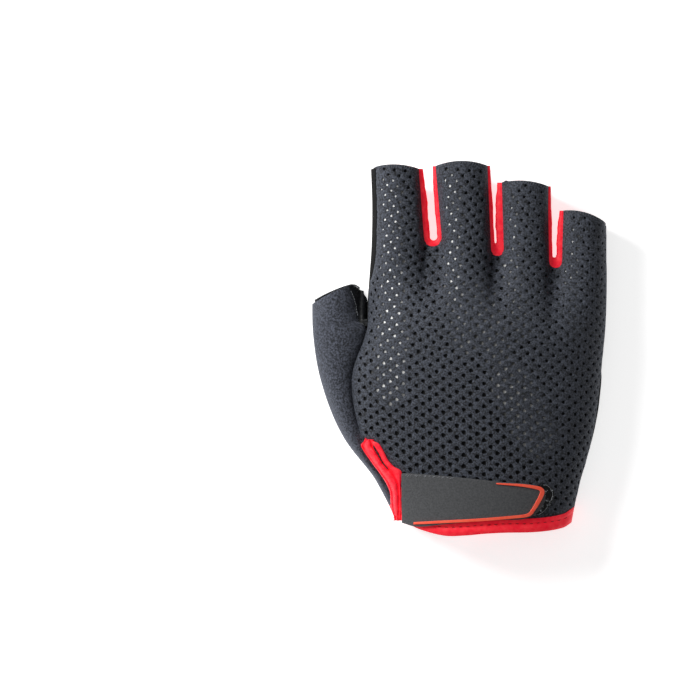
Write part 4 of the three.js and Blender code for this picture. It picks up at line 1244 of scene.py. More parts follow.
# %% Columns across the hand: the fingers' and the round slot bottoms'
FINE_FINGER = [0, 0.015, 0.04, 0.08, 0.14, 0.22, 0.32, 0.42, 0.5,
               0.58, 0.68, 0.78, 0.86, 0.92, 0.96, 0.985, 1]
SLOT_TURNS = [math.pi * i / 8 for i in range(1, 8)]


def dome(t, power=1.0):
    return math.sin(math.pi * clamp(t)) ** power if 0 < t < 1 else 0.0


def columns_of_hand():
    columns = []
    for k, finger in enumerate(fingers):
        for t in FINE_FINGER:
            columns.append({
                "finger": finger, "t": t,
                "share": mix(finger.left_share, finger.right_share, t),
                "end": mix(finger.left_root, finger.right_root, t),
            })
        slot = finger.after
        if slot is None:
            continue
        for turn in SLOT_TURNS:
            columns.append({
                "finger": None, "t": 0.5,
                "share": mix(finger.right_share, fingers[k + 1].left_share,
                             (1 - math.cos(turn)) / 2),
                "end": arch_top(slot) - slot.half(slot.bottom_y) * math.sin(turn),
            })
    return columns


hand_columns = columns_of_hand()


def seam_shift(finger, t):
    is_open = (finger.before is None and t == 0) or (finger.after is None and t == 1)
    return SEAM_GAP / 2 if is_open else 0.0


def finger_place(finger, t, y, height, side):
    x = mix(finger.left(y), finger.right(y), t)
    return x, y, height(x, y) + side * seam_shift(finger, t)


def finger_grid(finger, tip, height, side, rows):
    def place(t, v):
        root = mix(finger.left_root, finger.right_root, t)
        return finger_place(finger, t, mix(root, tip(finger, t), v), height, side)
    return cloth_grid(FINE_FINGER, rows, place)


def back_place(column, v):
    def at(y):
        return mix(cloth_edge(y), hand_right(y), column["share"])
    start = hem_top(at, "back") + HEM_GAP
    y = mix(start, column["end"], v)
    if v == 1 and column["finger"]:
        return finger_place(column["finger"], column["t"], y, back_height, 0)
    return at(y), y, back_height(at(y), y)


# %% A plain wall just beneath the holes
BACKING_WALL = 0.32
BACKING_DEPTH = KNIT_WALL + 0.12
GLINT_RISE = 0.62
backing = [cloth_grid(hand_columns, steps(44), back_place)]
for finger in fingers:
    backing.append(finger_grid(finger, back_tip, back_height, 0, steps(14)))
backing = join(backing, "back_lining")
merge(backing)
point_out(backing, Vector((0.01, 0, 0.3)))
rises = []
for vertex in backing.data.vertices:
    x, y = vertex.co.x / MM, vertex.co.y / MM
    rise = GLINT_RISE * painted_glint_at(x, y) * clamp(edge_distance(x_to_cloth(x, y), y) / 2 - 0.6)
    rises.append(rise - BACKING_DEPTH)
push(backing, rises)
soft_wall(backing, BACKING_WALL, 0)

# %% The bands of painted glint, kept as an attribute for the finish
pale = backing.data.attributes.new("pale", "FLOAT", "POINT")
for vertex in backing.data.vertices:
    pale.data[vertex.index].value = painted_glint_at(vertex.co.x / MM, vertex.co.y / MM)
backing.data.materials.append(backing_finish)

# %% An overlock of slanted and straight threads holds each finger's end, and the two faces are joined
OVERLOCK_INSET = 0.75
OVERLOCK_RISE = 0.4
overlock = []
for finger in fingers:
    rim = []
    for t in steps(12):
        end, across = back_tip(finger, t), 0.03 + 0.94 * t
        rim.append((mix(finger.left(end), finger.right(end), across),
                    back_tip(finger, across) - OVERLOCK_INSET))
    overlock.append(stitches(cloth, rim, tip_thread_finish, pitch=1.0, length=0.45, thick=0.3,
                             slant=0.45))
    edge = [(x, y + OVERLOCK_RISE) for x, y in rim]
    overlock.append(stitches(cloth, edge, tip_thread_finish, pitch=1.0, length=0.8, thick=0.26))
back_cloth = join([cloth, backing, *overlock], "back_cloth")
settle(back_cloth, "perforated_cloth", None, "back_panel")

# %% [markdown]
# ## The palm leather
# One piece of embossed leather covers the palm and the fingers' under sides. It lies flat where the glove
# rests, turns up at the sides to meet the back, and creases where the fingers bend. It could be sculpted,
# but grids on the same columns as the back meet it point for point along the sides, and each crease is a
# soft groove along a line of its own.


# %% Creases across the palm: each is a soft groove along a line
CREASES = table("x0 y0 x1 y1 depth width", [
    [-34.0, 47.0, -12.0, 41.0, 0.5, 1.6],
    [-33.0, 37.5, -12.0, 38.0, 0.4, 1.5],
    [-30.0, 31.5, -8.0, 35.5, 0.4, 1.6],
    [-50.0, 2.0, -38.0, 8.0, 0.4, 1.4],
    [-47.0, -8.0, -34.0, -2.0, 0.4, 1.6],
])


def crease(x, y):
    total = 0.0
    for row in CREASES:
        t, away = beside_line(row, x, y)
        total += row["depth"] * math.exp(-((away / row["width"]) ** 2)) * dome(t, 0.5)
    return total


# %% The palm's grids
split = arch_top(thumb_slot)
slot_left_x = slot_left(thumb_slot, split)
left_start = under_edge(split) + UNDER_SEAM_GAP
THUMB_COLUMNS = [0, 0.08, 0.2, 0.35, 0.5, 0.65, 0.8, 0.9, 0.96, 1]
palm_columns = [{"x": mix(left_start, slot_left_x, t), "end": split, "finger": None, "t": t}
                for t in THUMB_COLUMNS]
for turn in SLOT_TURNS:
    palm_columns.append({"x": slot_left_x + THUMB_HALF * (1 - math.cos(turn)), "finger": None,
                         "end": split - THUMB_HALF * math.sin(turn), "t": 0.5})
for column in hand_columns:
    palm_columns.append({**column, "x": hand_place(column["share"], split), "end": split})
for column in palm_columns:
    column["share"] = (column["x"] - left_start) / (hand_right(split) - left_start)


def creased(x, y):
    return palm_height(x, y) + crease(x, y)


def heel_place(column, v):
    def at(y):
        return mix(under_edge(y) + UNDER_SEAM_GAP, hand_right(y), column["share"])
    start = hem_top(at, "palm") + HEM_GAP
    y = mix(start, column["end"], v)
    outer = column["finger"] and column["finger"].before
    drop = seam_shift(column["finger"], column["t"]) if outer else 0
    return at(y), y, creased(at(y), y) - drop


def palm_hand_place(column, v):
    y = mix(split, column["end"], v)
    if v == 1 and column["finger"]:
        return finger_place(column["finger"], column["t"], y, creased, -1)
    x = hand_place(column["share"], y)
    finger = column["finger"]
    seam = finger and (v > 0 or finger.before)
    return x, y, creased(x, y) - (seam_shift(finger, column["t"]) if seam else 0)


def thumb_palm_place(t, v):
    rim = thumb_rim(mix(left_start, slot_left_x, t), THUMB_PALM_RIM_RISE)
    y = mix(split, rim, v)
    x = mix(under_edge(y) + UNDER_SEAM_GAP, slot_left(thumb_slot, y), t)
    return x, y, creased(x, y)


palm = [cloth_grid(palm_columns, steps(36), heel_place),
        cloth_grid(hand_columns, steps(14), palm_hand_place),
        cloth_grid(THUMB_COLUMNS, steps(8), thumb_palm_place)]
for finger in fingers:
    palm.append(finger_grid(finger, palm_tip, creased, -1, steps(14)))
palm = join(palm, "palm_leather")
merge(palm)
point_out(palm, Vector((0, 0, -0.3)))
soft_wall(palm, CLOTH_WALL, 0.25)

# %% The leather also turns up the index finger's outer side, as a dark edge of painted shade
index = fingers[0]
SIDE_FOOT = 24.0
SIDE_TUCK = 0.25
SIDE_SINK = 0.3


def index_side_place(v, u):
    y = mix(SIDE_FOOT, back_tip(index, 0) - SIDE_SINK, u)
    x = hand_left(y) + (index_side(y) + SIDE_TUCK) * v
    low = section("leftLevel", y) * CROWN_HEIGHT
    height = back_height(x, y)
    return x, y, mix(low, max(height, low), math.sqrt(v)) - SIDE_SINK


side_wall = cloth_grid(steps(10), steps(30), index_side_place)
point_out(side_wall, Vector((-0.3, 0.04, 0.1)))
soft_wall(side_wall, 1.0, 0.2)
palm.data.materials.append(leather_finish)
side_wall.data.materials.append(painted_shade_side_finish)
palm = join([palm, side_wall], "palm_leather")
settle(palm, "embossed_leather", None, "palm_panel")

# %% [markdown]
# ## The suede thumb
# Suede covers the thumb's back, wraps round its side and runs down to the wrist. The seam along the hand
# pulls it into small puckers. Sewing springs in a cloth simulation could draw them, but they would fall
# anywhere. Ripples that fade away from the seam put them where the real stitches are.


# %% Puckers along the seam
PUCKER_PITCH = 5.5
PUCKER_DEPTH = 0.28
PUCKER_REACH = 4.0
PUCKER_LEAN = 0.3
SEAM_SINK = 0.2
UNDER_RISE = 0.3
UNDER_RISE_WIDTH = 2.5


def pucker(run, away):
    ripple = PUCKER_DEPTH * math.sin(math.tau * run / PUCKER_PITCH) * math.exp(-away / PUCKER_REACH)
    return ripple * smooth((away - 0.2) / 1.0) - SEAM_SINK * (1 - clamp(away / 1.0)) ** 2


def thumb_row(x, v, side):
    return mix(wrist_edge(x, side) + HEM_WIDTH + HEM_GAP, thumb_rim(x), v)


def suede_place(side, left, right, height):
    def place(t, v):
        x = mix(left(0), right(0), t)
        for _ in range(8):
            y = thumb_row(x, v, side)
            x = mix(left(y), right(y), t)
        y = thumb_row(x, v, side)
        z = height(x, y)
        if side == "back":
            away = right(y) - x
            z += pucker(y + PUCKER_LEAN * away, away)
        else:
            z += UNDER_RISE * (1 - clamp((x - left(y)) / UNDER_RISE_WIDTH)) ** 2
        return x, y, z
    return place


# %% Rows that meet the crotch's round end, and the suede's two sides
TOP_COLUMNS = [0, 0.012, 0.03, 0.06, 0.1, 0.16, 0.23, 0.3, 0.38, 0.46, 0.54, 0.62, 0.7,
               0.78, 0.85, 0.9, 0.94, 0.97, 0.985, 1]
UNDER_COLUMNS = [0, 0.1, 0.2, 0.35, 0.5, 0.65, 0.78, 0.87, 0.93, 0.97, 1]
start = thumb_row(suede_edge(split), 0, "back")
end = thumb_row(suede_edge(split), 1, "back")
arc = [split - THUMB_HALF * share for share in (0.924, 0.707, 0.383)]
root_rows = [(y - start) / (end - start) for y in (CROTCH_Y, thumb_slot.bottom_y, *arc, split)]
suede_rows = sorted({*[t for t in steps(60) if not root_rows[0] < t < root_rows[-1]], *root_rows})
suede_top = cloth_grid(TOP_COLUMNS, suede_rows,
                       suede_place("back", thumb_left, suede_edge, thumb_height))
suede_under = cloth_grid(UNDER_COLUMNS, suede_rows,
                         suede_place("palm", under_edge, thumb_left, palm_height))
thumb = join([suede_top, suede_under], "thumb_suede")
merge(thumb, 0.0001)
point_out(thumb, Vector((-0.3, 0, 0.02)))
soft_wall(thumb, CLOTH_WALL, 0.3)
settle(thumb, "suede", suede_finish, "thumb_panel")

# %% [markdown]
# ## Strips in the openings
# Red stretch cloth joins the back to the palm between the fingers. Its top edge is folded and shows as a
# flat band, and below the fold the cloth leans into the opening. A tube along the edge would look like
# piping, so the strip is a grid instead. Its rows run along a path round the opening, and its columns go
# from under the back cloth, over the fold and down to the palm.


# %% The path round an opening
def slot_path(slot, inset, left_top, right_top, arm_steps, turns):
    path, start = [], arch_top(slot)
    for i in range(arm_steps):
        y = mix(start, left_top, 1 - i / arm_steps)
        path.append((slot.middle(y) - slot.half(y) + inset, y, -1.0))
    reach = slot.half(start) - inset
    for turn in np.linspace(0, math.pi, turns + 1):
        path.append((slot.middle(start) - reach * math.cos(turn),
                     start - reach * math.sin(turn), -math.cos(turn)))
    for i in reversed(range(arm_steps)):
        y = mix(start, right_top, 1 - i / arm_steps)
        path.append((slot.middle(y) + slot.half(y) - inset, y, 1.0))
    return path


# %% The band's free edge, and the strip
BAND_STEPS = [0, 0.06, 0.14, 0.24, 0.36, 0.5, 0.62, 0.74, 0.87, 1]
BAND_DEPTH = 0.8
UNDER_EDGE = 0.6
BAND_INSET = 0.8
BAND_NARROWS = 0.62
BAND_WALL = 0.8
ARM_STEPS = 18
TURN_STEPS = 12
BANDS = table("left right foot", [[2.0, 1.35, 1.85], [1.1, 2.5, 4.4], [1.0, 1.9, 3.5]])


def free_edge(slot, band, left_top, right_top):
    """The folded band's inner edge: a narrower opening inside the slot, not quite even by hand."""
    base = slot_path(slot, 0, left_top, right_top, ARM_STEPS, TURN_STEPS)
    start = arch_top(slot)
    half = max(0.25, slot.half(start) - (band["left"] + band["right"]) / 2)
    middle = slot.middle(start) + (band["left"] - band["right"]) / 2
    low = slot.bottom_y + band["foot"]
    high = max(start, low + half)
    path = []
    for i, (x, y, side) in enumerate(base):
        if i < ARM_STEPS or i > ARM_STEPS + TURN_STEPS:
            inward = band["left"] if side < 0 else -band["right"]
            inward *= 1 + 0.06 * math.sin(i * 0.9) + 0.04 * math.sin(i * 2.3)
            top = base[0 if side < 0 else -1][1]
            upper = smooth((y - mix(start, top, 0.55)) / (0.45 * (top - start)))
            inward *= mix(1, BAND_NARROWS, upper)
            path.append((x + inward, max(y, high + 0.02 * abs(i - ARM_STEPS)), side))
        else:
            turn = math.pi * (i - ARM_STEPS) / TURN_STEPS
            path.append((middle - half * math.cos(turn), high - (high - low) * math.sin(turn), side))
    return path


def gusset(slot, k):
    before, after = fingers[k], fingers[k + 1]
    tips = back_tip(before, 1), back_tip(after, 0)
    outer = slot_path(slot, -UNDER_EDGE, *tips, ARM_STEPS, TURN_STEPS)
    inner = free_edge(slot, BANDS[k], *tips)
    palms = slot_path(slot, BAND_INSET, palm_tip(before, 1), palm_tip(after, 0),
                      ARM_STEPS, TURN_STEPS)
    low = PALM_LEVEL + SLOT_EDGE_RAISE
    high = SLOT_EDGE_HEIGHT - 0.1

    def place(e, i):
        (ox, oy, _), (nx, ny, _), (px, py, _) = outer[i], inner[i], palms[i]
        if e <= 0.5:
            reach = 2 * e
            return mix(ox, nx, reach), mix(oy, ny, reach), high - BAND_DEPTH * reach ** 4
        fall = (e - 0.5) * 2
        return mix(nx, px, fall), mix(ny, py, fall), mix(high - BAND_DEPTH, low, fall)

    strip = join([cloth_grid(BAND_STEPS, list(range(len(outer))), place)],
                 f"gusset_{slot.name}_cloth")
    point_out(strip, Vector((slot.middle(60) * MM, 0.062, 0.05)))
    soft_wall(strip, BAND_WALL)
    settle(strip, "red_stretch_cloth", red_finish, f"gusset_{slot.name}")


for k, slot in enumerate(slots):
    gusset(slot, k)

# %% [markdown]
# ### The leather in the thumb's crotch
# Between the thumb and the index finger the strip is leather, and it shows in the photograph as a dark
# folded edge. It is made as the red strips are. Its columns also fan out under the back cloth, because in
# the round end of the crotch both edges are pulled apart, and a straight strip would leave a gap there.

# %% The strip bulges out of the opening, and its rim falls back towards the hand
FACING_INSET = SEAM_GAP + GUSSET_WALL
FACING_WALL = 0.9
facing_rim = thumb_rim(slot_left(thumb_slot, split))
facing_path = slot_path(thumb_slot, FACING_INSET, facing_rim, along_y(THUMB_TOP), 12, 12)
FACING_STEPS = [-1, -0.8, -0.6, -0.4, -0.25, -0.12, 0, 0.06, 0.14, 0.25, 0.4, 0.55, 0.7, 0.85, 1]
FACING_BULGE = 1.9
FACING_SAG = 0.6
RIM_PULL = 2.6
RIM_PULL_FOOT = 16.5
RIM_FALL = 2.0
RIM_FALL_ON_TOP = 0.4
CROTCH_SPREAD = 2.6
INDEX_SHIFT = 1.5


def facing_place(e, i):
    """From e = -1 under the back, over the fold at e = 0, to the palm at e = 1."""
    px, py, side = facing_path[i]
    top = section("leftLevel", py) * CROWN_HEIGHT
    on_thumb = side < 0 and py > split + SEAM_GAP
    reach = px - suede_edge(py) + SEWN if on_thumb else 0.0
    near_rim = clamp((py - split) / (facing_rim - split))
    centre = math.sqrt(max(0.0, 1 - side * side))
    if e <= 0 and on_thumb:
        x = px + reach * e
        fall = RIM_FALL * RIM_FALL_ON_TOP * (1 + e) ** 3 * near_rim ** 3
        y = py + (thumb_rim(x) - facing_rim) * near_rim - fall
        return x, y, thumb_height(x, y)
    if e <= 0:
        fan = -e * CROTCH_SPREAD
        across = side * fan + INDEX_SHIFT * (1 + side) / 2
        return px + across, py - centre * fan, top - 0.5 + 0.2 * e
    low = PALM_LEVEL + SLOT_EDGE_RAISE
    swell = clamp(e / 0.3) ** 0.5 if e < 0.6 else dome(0.5 + (e - 0.6) / 0.8, 0.5)
    pull = clamp((py - RIM_PULL_FOOT) / (facing_rim - RIM_PULL_FOOT)) ** 3
    sideways = mix(swell * (FACING_BULGE - RIM_PULL * pull), INDEX_SHIFT, (1 + side) / 2)
    drop = RIM_FALL * mix(RIM_FALL_ON_TOP, 1, swell) * near_rim ** 3 if on_thumb else 0.0
    y = py - drop + centre * swell * FACING_SAG
    return px + sideways, y, mix(top - FACING_FOLD / 2, low, e)


facing = join([cloth_grid(FACING_STEPS, list(range(len(facing_path))), facing_place)],
              "thumb_side_leather")
point_out(facing, Vector((thumb_slot.middle(18) * MM, 0.018, 0.1)))
soft_wall(facing, FACING_WALL)
seam_line = [(suede_edge(y) - SEWN + 0.45, y)
             for y in spread(CROTCH_Y + 0.5, facing_rim - 1.0, 0.7)]
facing = sewn(facing, leather_finish, [stitches(facing, seam_line, grey_thread_finish, pitch=1.0,
                                                length=0.95, thick=0.26)])
settle(facing, "embossed_leather", None, "thumb_facing")

# %% [markdown]
# ## The hem
# The red hem is a folded band round the wrist, and a line of stitches below its upper edge holds it. It
# could be extruded from the cloth's edge, but it swells on both sides of the line of stitches and ripples
# where the cloth is gathered. So it is a band of grids that is pushed out by how far each point is from
# the line of stitches.

# %% A band along the wrist's edge, pushed out by its folds
HEM_STITCH = 0.64
HEM_SWELL = 0.55
HEM_LIP_SWELL = 0.3
HEM_RIPPLES = ((0.07, 1.7, 0), (0.05, 0.73, 1))
HEM_ROWS = [0, 0.045, 0.1, 0.18, 0.28, 0.38, 0.48, 0.55, 0.6, 0.64, 0.68, 0.73, 0.8, 0.88, 0.95, 1]


def hem_band(x_at, side, height):
    def place(t, v):
        y = WRIST_Y
        for _ in range(8):
            y = wrist_edge(x_at(t, y), side) + HEM_WIDTH * v
        x = x_at(t, y)
        return x, y, height(x, y)
    return place


def hem_puff(run):
    def puff(t, v):
        swell = HEM_SWELL * dome(v / HEM_STITCH, 0.7)
        swell += HEM_LIP_SWELL * dome((v - HEM_STITCH) / (1 - HEM_STITCH), 0.7)
        ripple = sum(high * math.sin(t * run * pace + start) for high, pace, start in HEM_RIPPLES)
        return (swell + ripple * dome(v)) * smooth(min(t, 1 - t) / 0.02)
    return puff


def even(count, ends):
    return sorted({*steps(count), *ends, *[1 - e for e in ends]})


def over_back(t, y):
    return mix(cloth_edge(y), hand_right(y), t)


def under_palm(t, y):
    return mix(hand_right(y), thumb_left(y), t)


def over_thumb(t, y):
    return mix(thumb_left(y), suede_edge(y), t)


SIDE_ENDS = (0.004, 0.012, 0.028, 0.05)
hem = [cloth_grid(even(70, SIDE_ENDS), HEM_ROWS, hem_band(over_back, "back", back_height),
                  hem_puff(70)),
       cloth_grid(even(80, SIDE_ENDS), HEM_ROWS, hem_band(under_palm, "palm", palm_height),
                  hem_puff(80)),
       cloth_grid(steps(6), HEM_ROWS, hem_band(over_thumb, "back", thumb_height), hem_puff(5))]
hem = join(hem, "wrist_hem")
merge(hem, 0.0002)
point_out(hem, Vector((0.01, -0.3, 0.02)))
soft_wall(hem, HEM_WALL, 0.45)


# %% Its row of stitches
def hem_line(x_at, side, low, high):
    points = []
    for t in spread(low, high, 0.02):
        y = WRIST_Y
        for _ in range(8):
            y = wrist_edge(x_at(t, y), side) + HEM_WIDTH * HEM_STITCH
        points.append((x_at(t, y), y))
    return points


hem_rows = [
    stitches(hem, hem_line(over_back, "back", 0.02, 0.97), red_thread_finish,
             pitch=2.7, length=1.7, thick=0.5),
    stitches(hem, hem_line(under_palm, "palm", 0.03, 0.97), red_thread_finish, above=False,
             pitch=2.7, length=1.7, thick=0.5)]
hem = sewn(hem, red_finish, hem_rows)
settle(hem, "red_stretch_cloth", None, "wrist_binding")

# %% [markdown]
# ## The vent
# A slit lets the wrist open, and both its edges are bound with red cloth that rolls and crumples. Bent
# tubes would meet badly at its top, so the binding is one grid between four rails. Between them lie a
# thin fold at the thumb's side, a wide roll, and past the dark slit a narrow roll beside the back cloth.

# %% The four rails a, b, c and d, from the top down to the strap
VENT_RAILS = table("ax ay bx by cx cy dx dy", [
    [-37.2, -36.3, -36.4, -35.8, -34.9, -35.8, -33.9, -36.2],
    [-38.7, -37.8, -37.8, -38.0, -34.4, -38.0, -31.8, -37.1],
    [-37.1, -40.9, -36.1, -41.2, -32.4, -40.6, -30.0, -39.8],
    [-34.2, -45.0, -33.2, -45.3, -30.5, -44.2, -28.2, -43.4],
    [-31.5, -48.6, -30.6, -48.7, -28.7, -46.4, -25.9, -46.0],
    [-29.0, -52.4, -28.1, -52.4, -26.3, -48.9, -22.9, -48.1],
    [-27.4, -56.2, -26.6, -56.2, -24.1, -53.8, -23.1, -53.8],
    [-27.1, -60.3, -26.3, -60.3, -23.8, -60.3, -22.9, -60.3],
    [-26.6, -63.7, -25.8, -64.0, -23.9, -64.5, -23.0, -64.0],
    [-25.3, -66.5, -24.9, -67.2, -24.2, -67.3, -23.7, -66.6],
])
RAIL_AT = [0, 0.14, 0.7, 1]
ROLLS = [0.5, 1.8, 1.0]
VENT_LIFT = 0.45
LOW_ROLL = 0.35
RUMPLES = ((0.17, 1.3, 4), (0.1, 2.9, 7))
SLIT_DEPTH = 1.6
SLIT_HALF = 0.06
SLIT_TOP, SLIT_FOOT = 0.07, 0.58
VENT_WALL = 1.3
rails = [curve_points([(r[k + "x"], r[k + "y"]) for r in VENT_RAILS], 5) for k in "abcd"]


def vent_place(t, i):
    k = 0 if t < RAIL_AT[1] else 1 if t < RAIL_AT[2] else 2
    share = (t - RAIL_AT[k]) / (RAIL_AT[k + 1] - RAIL_AT[k])
    x, y = (float(mix(rails[k][i][j], rails[k + 1][i][j], share)) for j in (0, 1))
    hand = back_height(x, y) if x > hand_left(y) else thumb_height(x, y)
    along = i / (len(rails[0]) - 1)
    roll = ROLLS[k] * dome(share, 0.75) * mix(LOW_ROLL, 1, dome(0.03 + 0.94 * along, 0.35))
    rumple = sum(high * math.sin(i * pace + turn * t) for high, pace, turn in RUMPLES)
    slit = -SLIT_DEPTH * math.exp(-(((t - RAIL_AT[2]) / SLIT_HALF) ** 2))
    slit *= clamp((SLIT_FOOT - along) * 8) * clamp((along - SLIT_TOP) * 14)
    return x, y, hand + VENT_LIFT + roll + rumple * dome(t) * clamp(along * 7) + slit


VENT_STEPS = [0, 0.035, 0.07, 0.105, 0.14, 0.2, 0.27, 0.35, 0.43, 0.5, 0.57, 0.63, 0.67,
              0.7, 0.73, 0.77, 0.82, 0.88, 0.94, 1]
vent = join([cloth_grid(VENT_STEPS, list(range(len(rails[0]))), vent_place)], "vent_lips")
point_out(vent, Vector((-0.03, -0.05, 0.3)))
soft_wall(vent, VENT_WALL)

# %% Dark strands fill the slit: painted shade
SLIT = [(-33.9, -37.8), (-32.2, -40.2), (-30.6, -43.4), (-29.0, -46.0), (-27.9, -47.4)]
vent = sewn(vent, red_finish, [stitches(vent, SLIT, slit_shade_finish, pitch=1.3, length=3.4,
                                        thick=0.8)])
settle(vent, "red_stretch_cloth", None, "vent_binding")


# %% [markdown]
# ## The closing strap
# A woven strap closes the wrist. It is stiff, so it follows the hand's arch and nothing finer. A
# shrinkwrap onto the back would copy every hole, so each point is raised from the smooth form under the
# cloth, along that form's normal. Its cut upper edge is a little frayed.

# %% The strap lies over the back
def strap_height(x, y):
    return back_height(max(x, hand_left(y)), y)


def raised(x, y, offset):
    nudge = 0.2
    slope_x = (strap_height(x + nudge, y) - strap_height(x - nudge, y)) / (2 * nudge)
    slope_y = (strap_height(x, y + nudge) - strap_height(x, y - nudge)) / (2 * nudge)
    normal = Vector((-slope_x, -slope_y, 1)).normalized()
    return Vector((x, y, strap_height(x, y))) + normal * offset


STRAP_TUCK = (1.8, 1.1)


def strap_place(t, v):
    share = mix(STRAP[0]["x"], STRAP[-1]["x"], t)
    low, high = (read(STRAP, "x", key, share) for key in ("low", "high"))
    tuck = mix(*STRAP_TUCK, v) * (1 - t) ** 4
    return raised(across_x(share) + tuck, along_y(mix(low, high, v)), STRAP_GAP + STRAP_WALL)


strap = join([cloth_grid(steps(56), steps(20), strap_place)], "closing_strap")
point_out(strap, Vector((0, -0.06, 0.3)))
soft_wall(strap, STRAP_WALL)

# %% Loose fibres along its cut edge
FIBRES = table("off pitch slant", [[0, 1.7, 0.25], [0.25, 2.3, -0.3], [-0.25, 3.1, 0.4]])
frayed = [strap_place(s, 0.985) for s in spread(0.02, 0.38, 0.02)]
fibres = [stitches(strap, [(q[0], q[1] + row["off"]) for q in frayed], grey_thread_finish,
                   pitch=row["pitch"], length=1.1, thick=0.2, slant=row["slant"]) for row in FIBRES]
strap = sewn(strap, strap_finish, fibres)
settle(strap, "strap_cloth", None, "closure_strap")


# %% [markdown]
# ### The hook tape and the printed line
# Past the strap's end a strip of moulded hooks shows, with a welded rim of film. The hooks are too small
# to model, and the finish draws their glints. The line along the strap is printed silicone, thick enough
# to feel. A bevelled curve would be round, so both are flat grids that are raised as the strap is.

# %% The hook tape
TAB_RAISE = 0.65
TAB_WALL = 0.6
inner_rail = curve_points([(r["inX"], r["inY"]) for r in HOOK_TAB], 4)
outer_rail = curve_points([(r["outX"], r["outY"]) for r in HOOK_TAB], 4)


def tab_place(e, i):
    x, y = (float(mix(inner_rail[i][j], outer_rail[i][j], e)) for j in (0, 1))
    return raised(x, y, STRAP_GAP + TAB_RAISE)


tab = join([cloth_grid([0, 0.25, 0.5, 0.75, 0.93, 1], list(range(len(outer_rail))), tab_place)],
           "hook_tape_end")
point_out(tab, Vector((0.03, -0.05, 0.3)))
soft_wall(tab, TAB_WALL, 0.12)
rim_line = [mix(inner, outer, 0.95) for inner, outer in zip(inner_rail, outer_rail)]
rim = stitches(tab, rim_line, edge_finish, pitch=0.7, length=0.9, thick=0.26)
tab = sewn(tab, hook_finish, [rim])
settle(tab, "hook_tape", None, "strap_hook_tab")

# %% The printed line
STRIPE_RAISE = STRAP_GAP + STRAP_WALL + STRIPE_GAP + 0.3
STRIPE_FILM = 0.4
stripe_line = curve_points([(across_x(r["x"]), along_y(r["y"]), r["width"]) for r in STRIPE], 6)


def stripe_place(side, i):
    x, y, width = stripe_line[i]
    ahead = stripe_line[min(i + 1, len(stripe_line) - 1)] - stripe_line[max(i - 1, 0)]
    way = ahead[:2] / np.linalg.norm(ahead[:2])
    half = STRIPE_WIDTH * width / 2 * side
    return raised(float(x + half * way[1]), float(y - half * way[0]), STRIPE_RAISE)


stripe = join([cloth_grid([-1, -0.6, 0, 0.6, 1], list(range(len(stripe_line))), stripe_place)],
              "strap_line")
point_out(stripe, Vector((0, -0.06, 0.3)))
soft_wall(stripe, STRIPE_FILM, 0.12)
settle(stripe, "stripe_ink", ink_finish, "strap_stripe")

# %% [markdown]
# ## The padded patches
# Foam lies between the patches and the palm, and rows of stitches press it down into a quilt. A cloth
# simulation with pressure could swell a patch, but its lines would wander. So each patch is a flat grid
# cut to its outline, and swelled by how far each point is from the nearest row of stitches.

# %% Stitch rows and quilting lines
PALM_CORNER = (70.5, 81.12)
PALM_SCALE = (0.1084, 0.102)


def glove_points(rows):
    return [(across_x(row["x"]), along_y(row["y"])) for row in rows]


def palm_view(points):
    """Lines measured from the palm's corner, turned to the glove's own millimetres."""
    return [(PALM_CORNER[0] - PALM_SCALE[0] * x, PALM_CORNER[1] - PALM_SCALE[1] * y)
            for x, y in points]


palm_outline = curve_points(glove_points(PALM_PATCH), 4, True)
pad_outline = curve_points(glove_points(THUMB_PATCH), 6, True)
LEAF = curve_points(palm_view([(280, 617), (400, 577), (520, 551), (620, 541), (700, 541), (738, 548),
                               (700, 570), (600, 600), (500, 620), (400, 628), (330, 627)]), 5, True)
LONG_LINE = curve_points(palm_view([(165, 1080), (185, 1030), (230, 960), (290, 905), (370, 865),
                                    (450, 840), (560, 815), (660, 795), (760, 765), (835, 740)]), 5)
HEEL_LINE = curve_points(palm_view([(287, 1296), (300, 1250), (350, 1180), (420, 1120), (500, 1080),
                                    (585, 1062)]), 5)
PAD_LINE = curve_points(palm_view([(640, 962), (700, 967), (760, 1000), (812, 1036), (858, 1072)]), 5)
print("points on the quilting lines:", [len(line) for line in (LEAF, LONG_LINE, HEEL_LINE, PAD_LINE)])


# %% The rows of stitches beside a patch's edge
EDGE_ROWS = (0.85, 2.35)


def inset_line(points, inset):
    """A closed outline moved inwards, leaving out what would cross itself."""
    n = len(points)
    area = sum(points[i][0] * points[(i + 1) % n][1] - points[(i + 1) % n][0] * points[i][1]
               for i in range(n))
    turn = 1 if area > 0 else -1
    out = []
    for i, p in enumerate(points):
        way = points[(i + 1) % n] - points[i - 1]
        way = way / max(np.linalg.norm(way), 1e-9)
        q = p + np.array([-way[1], way[0]]) * inset * turn
        if min(np.hypot(*(q - r)) for r in points) > inset * 0.93:
            out.append(q)
    return out


# %% A flat grid cut to the patch's outline
PATCH_PITCH = 1.15


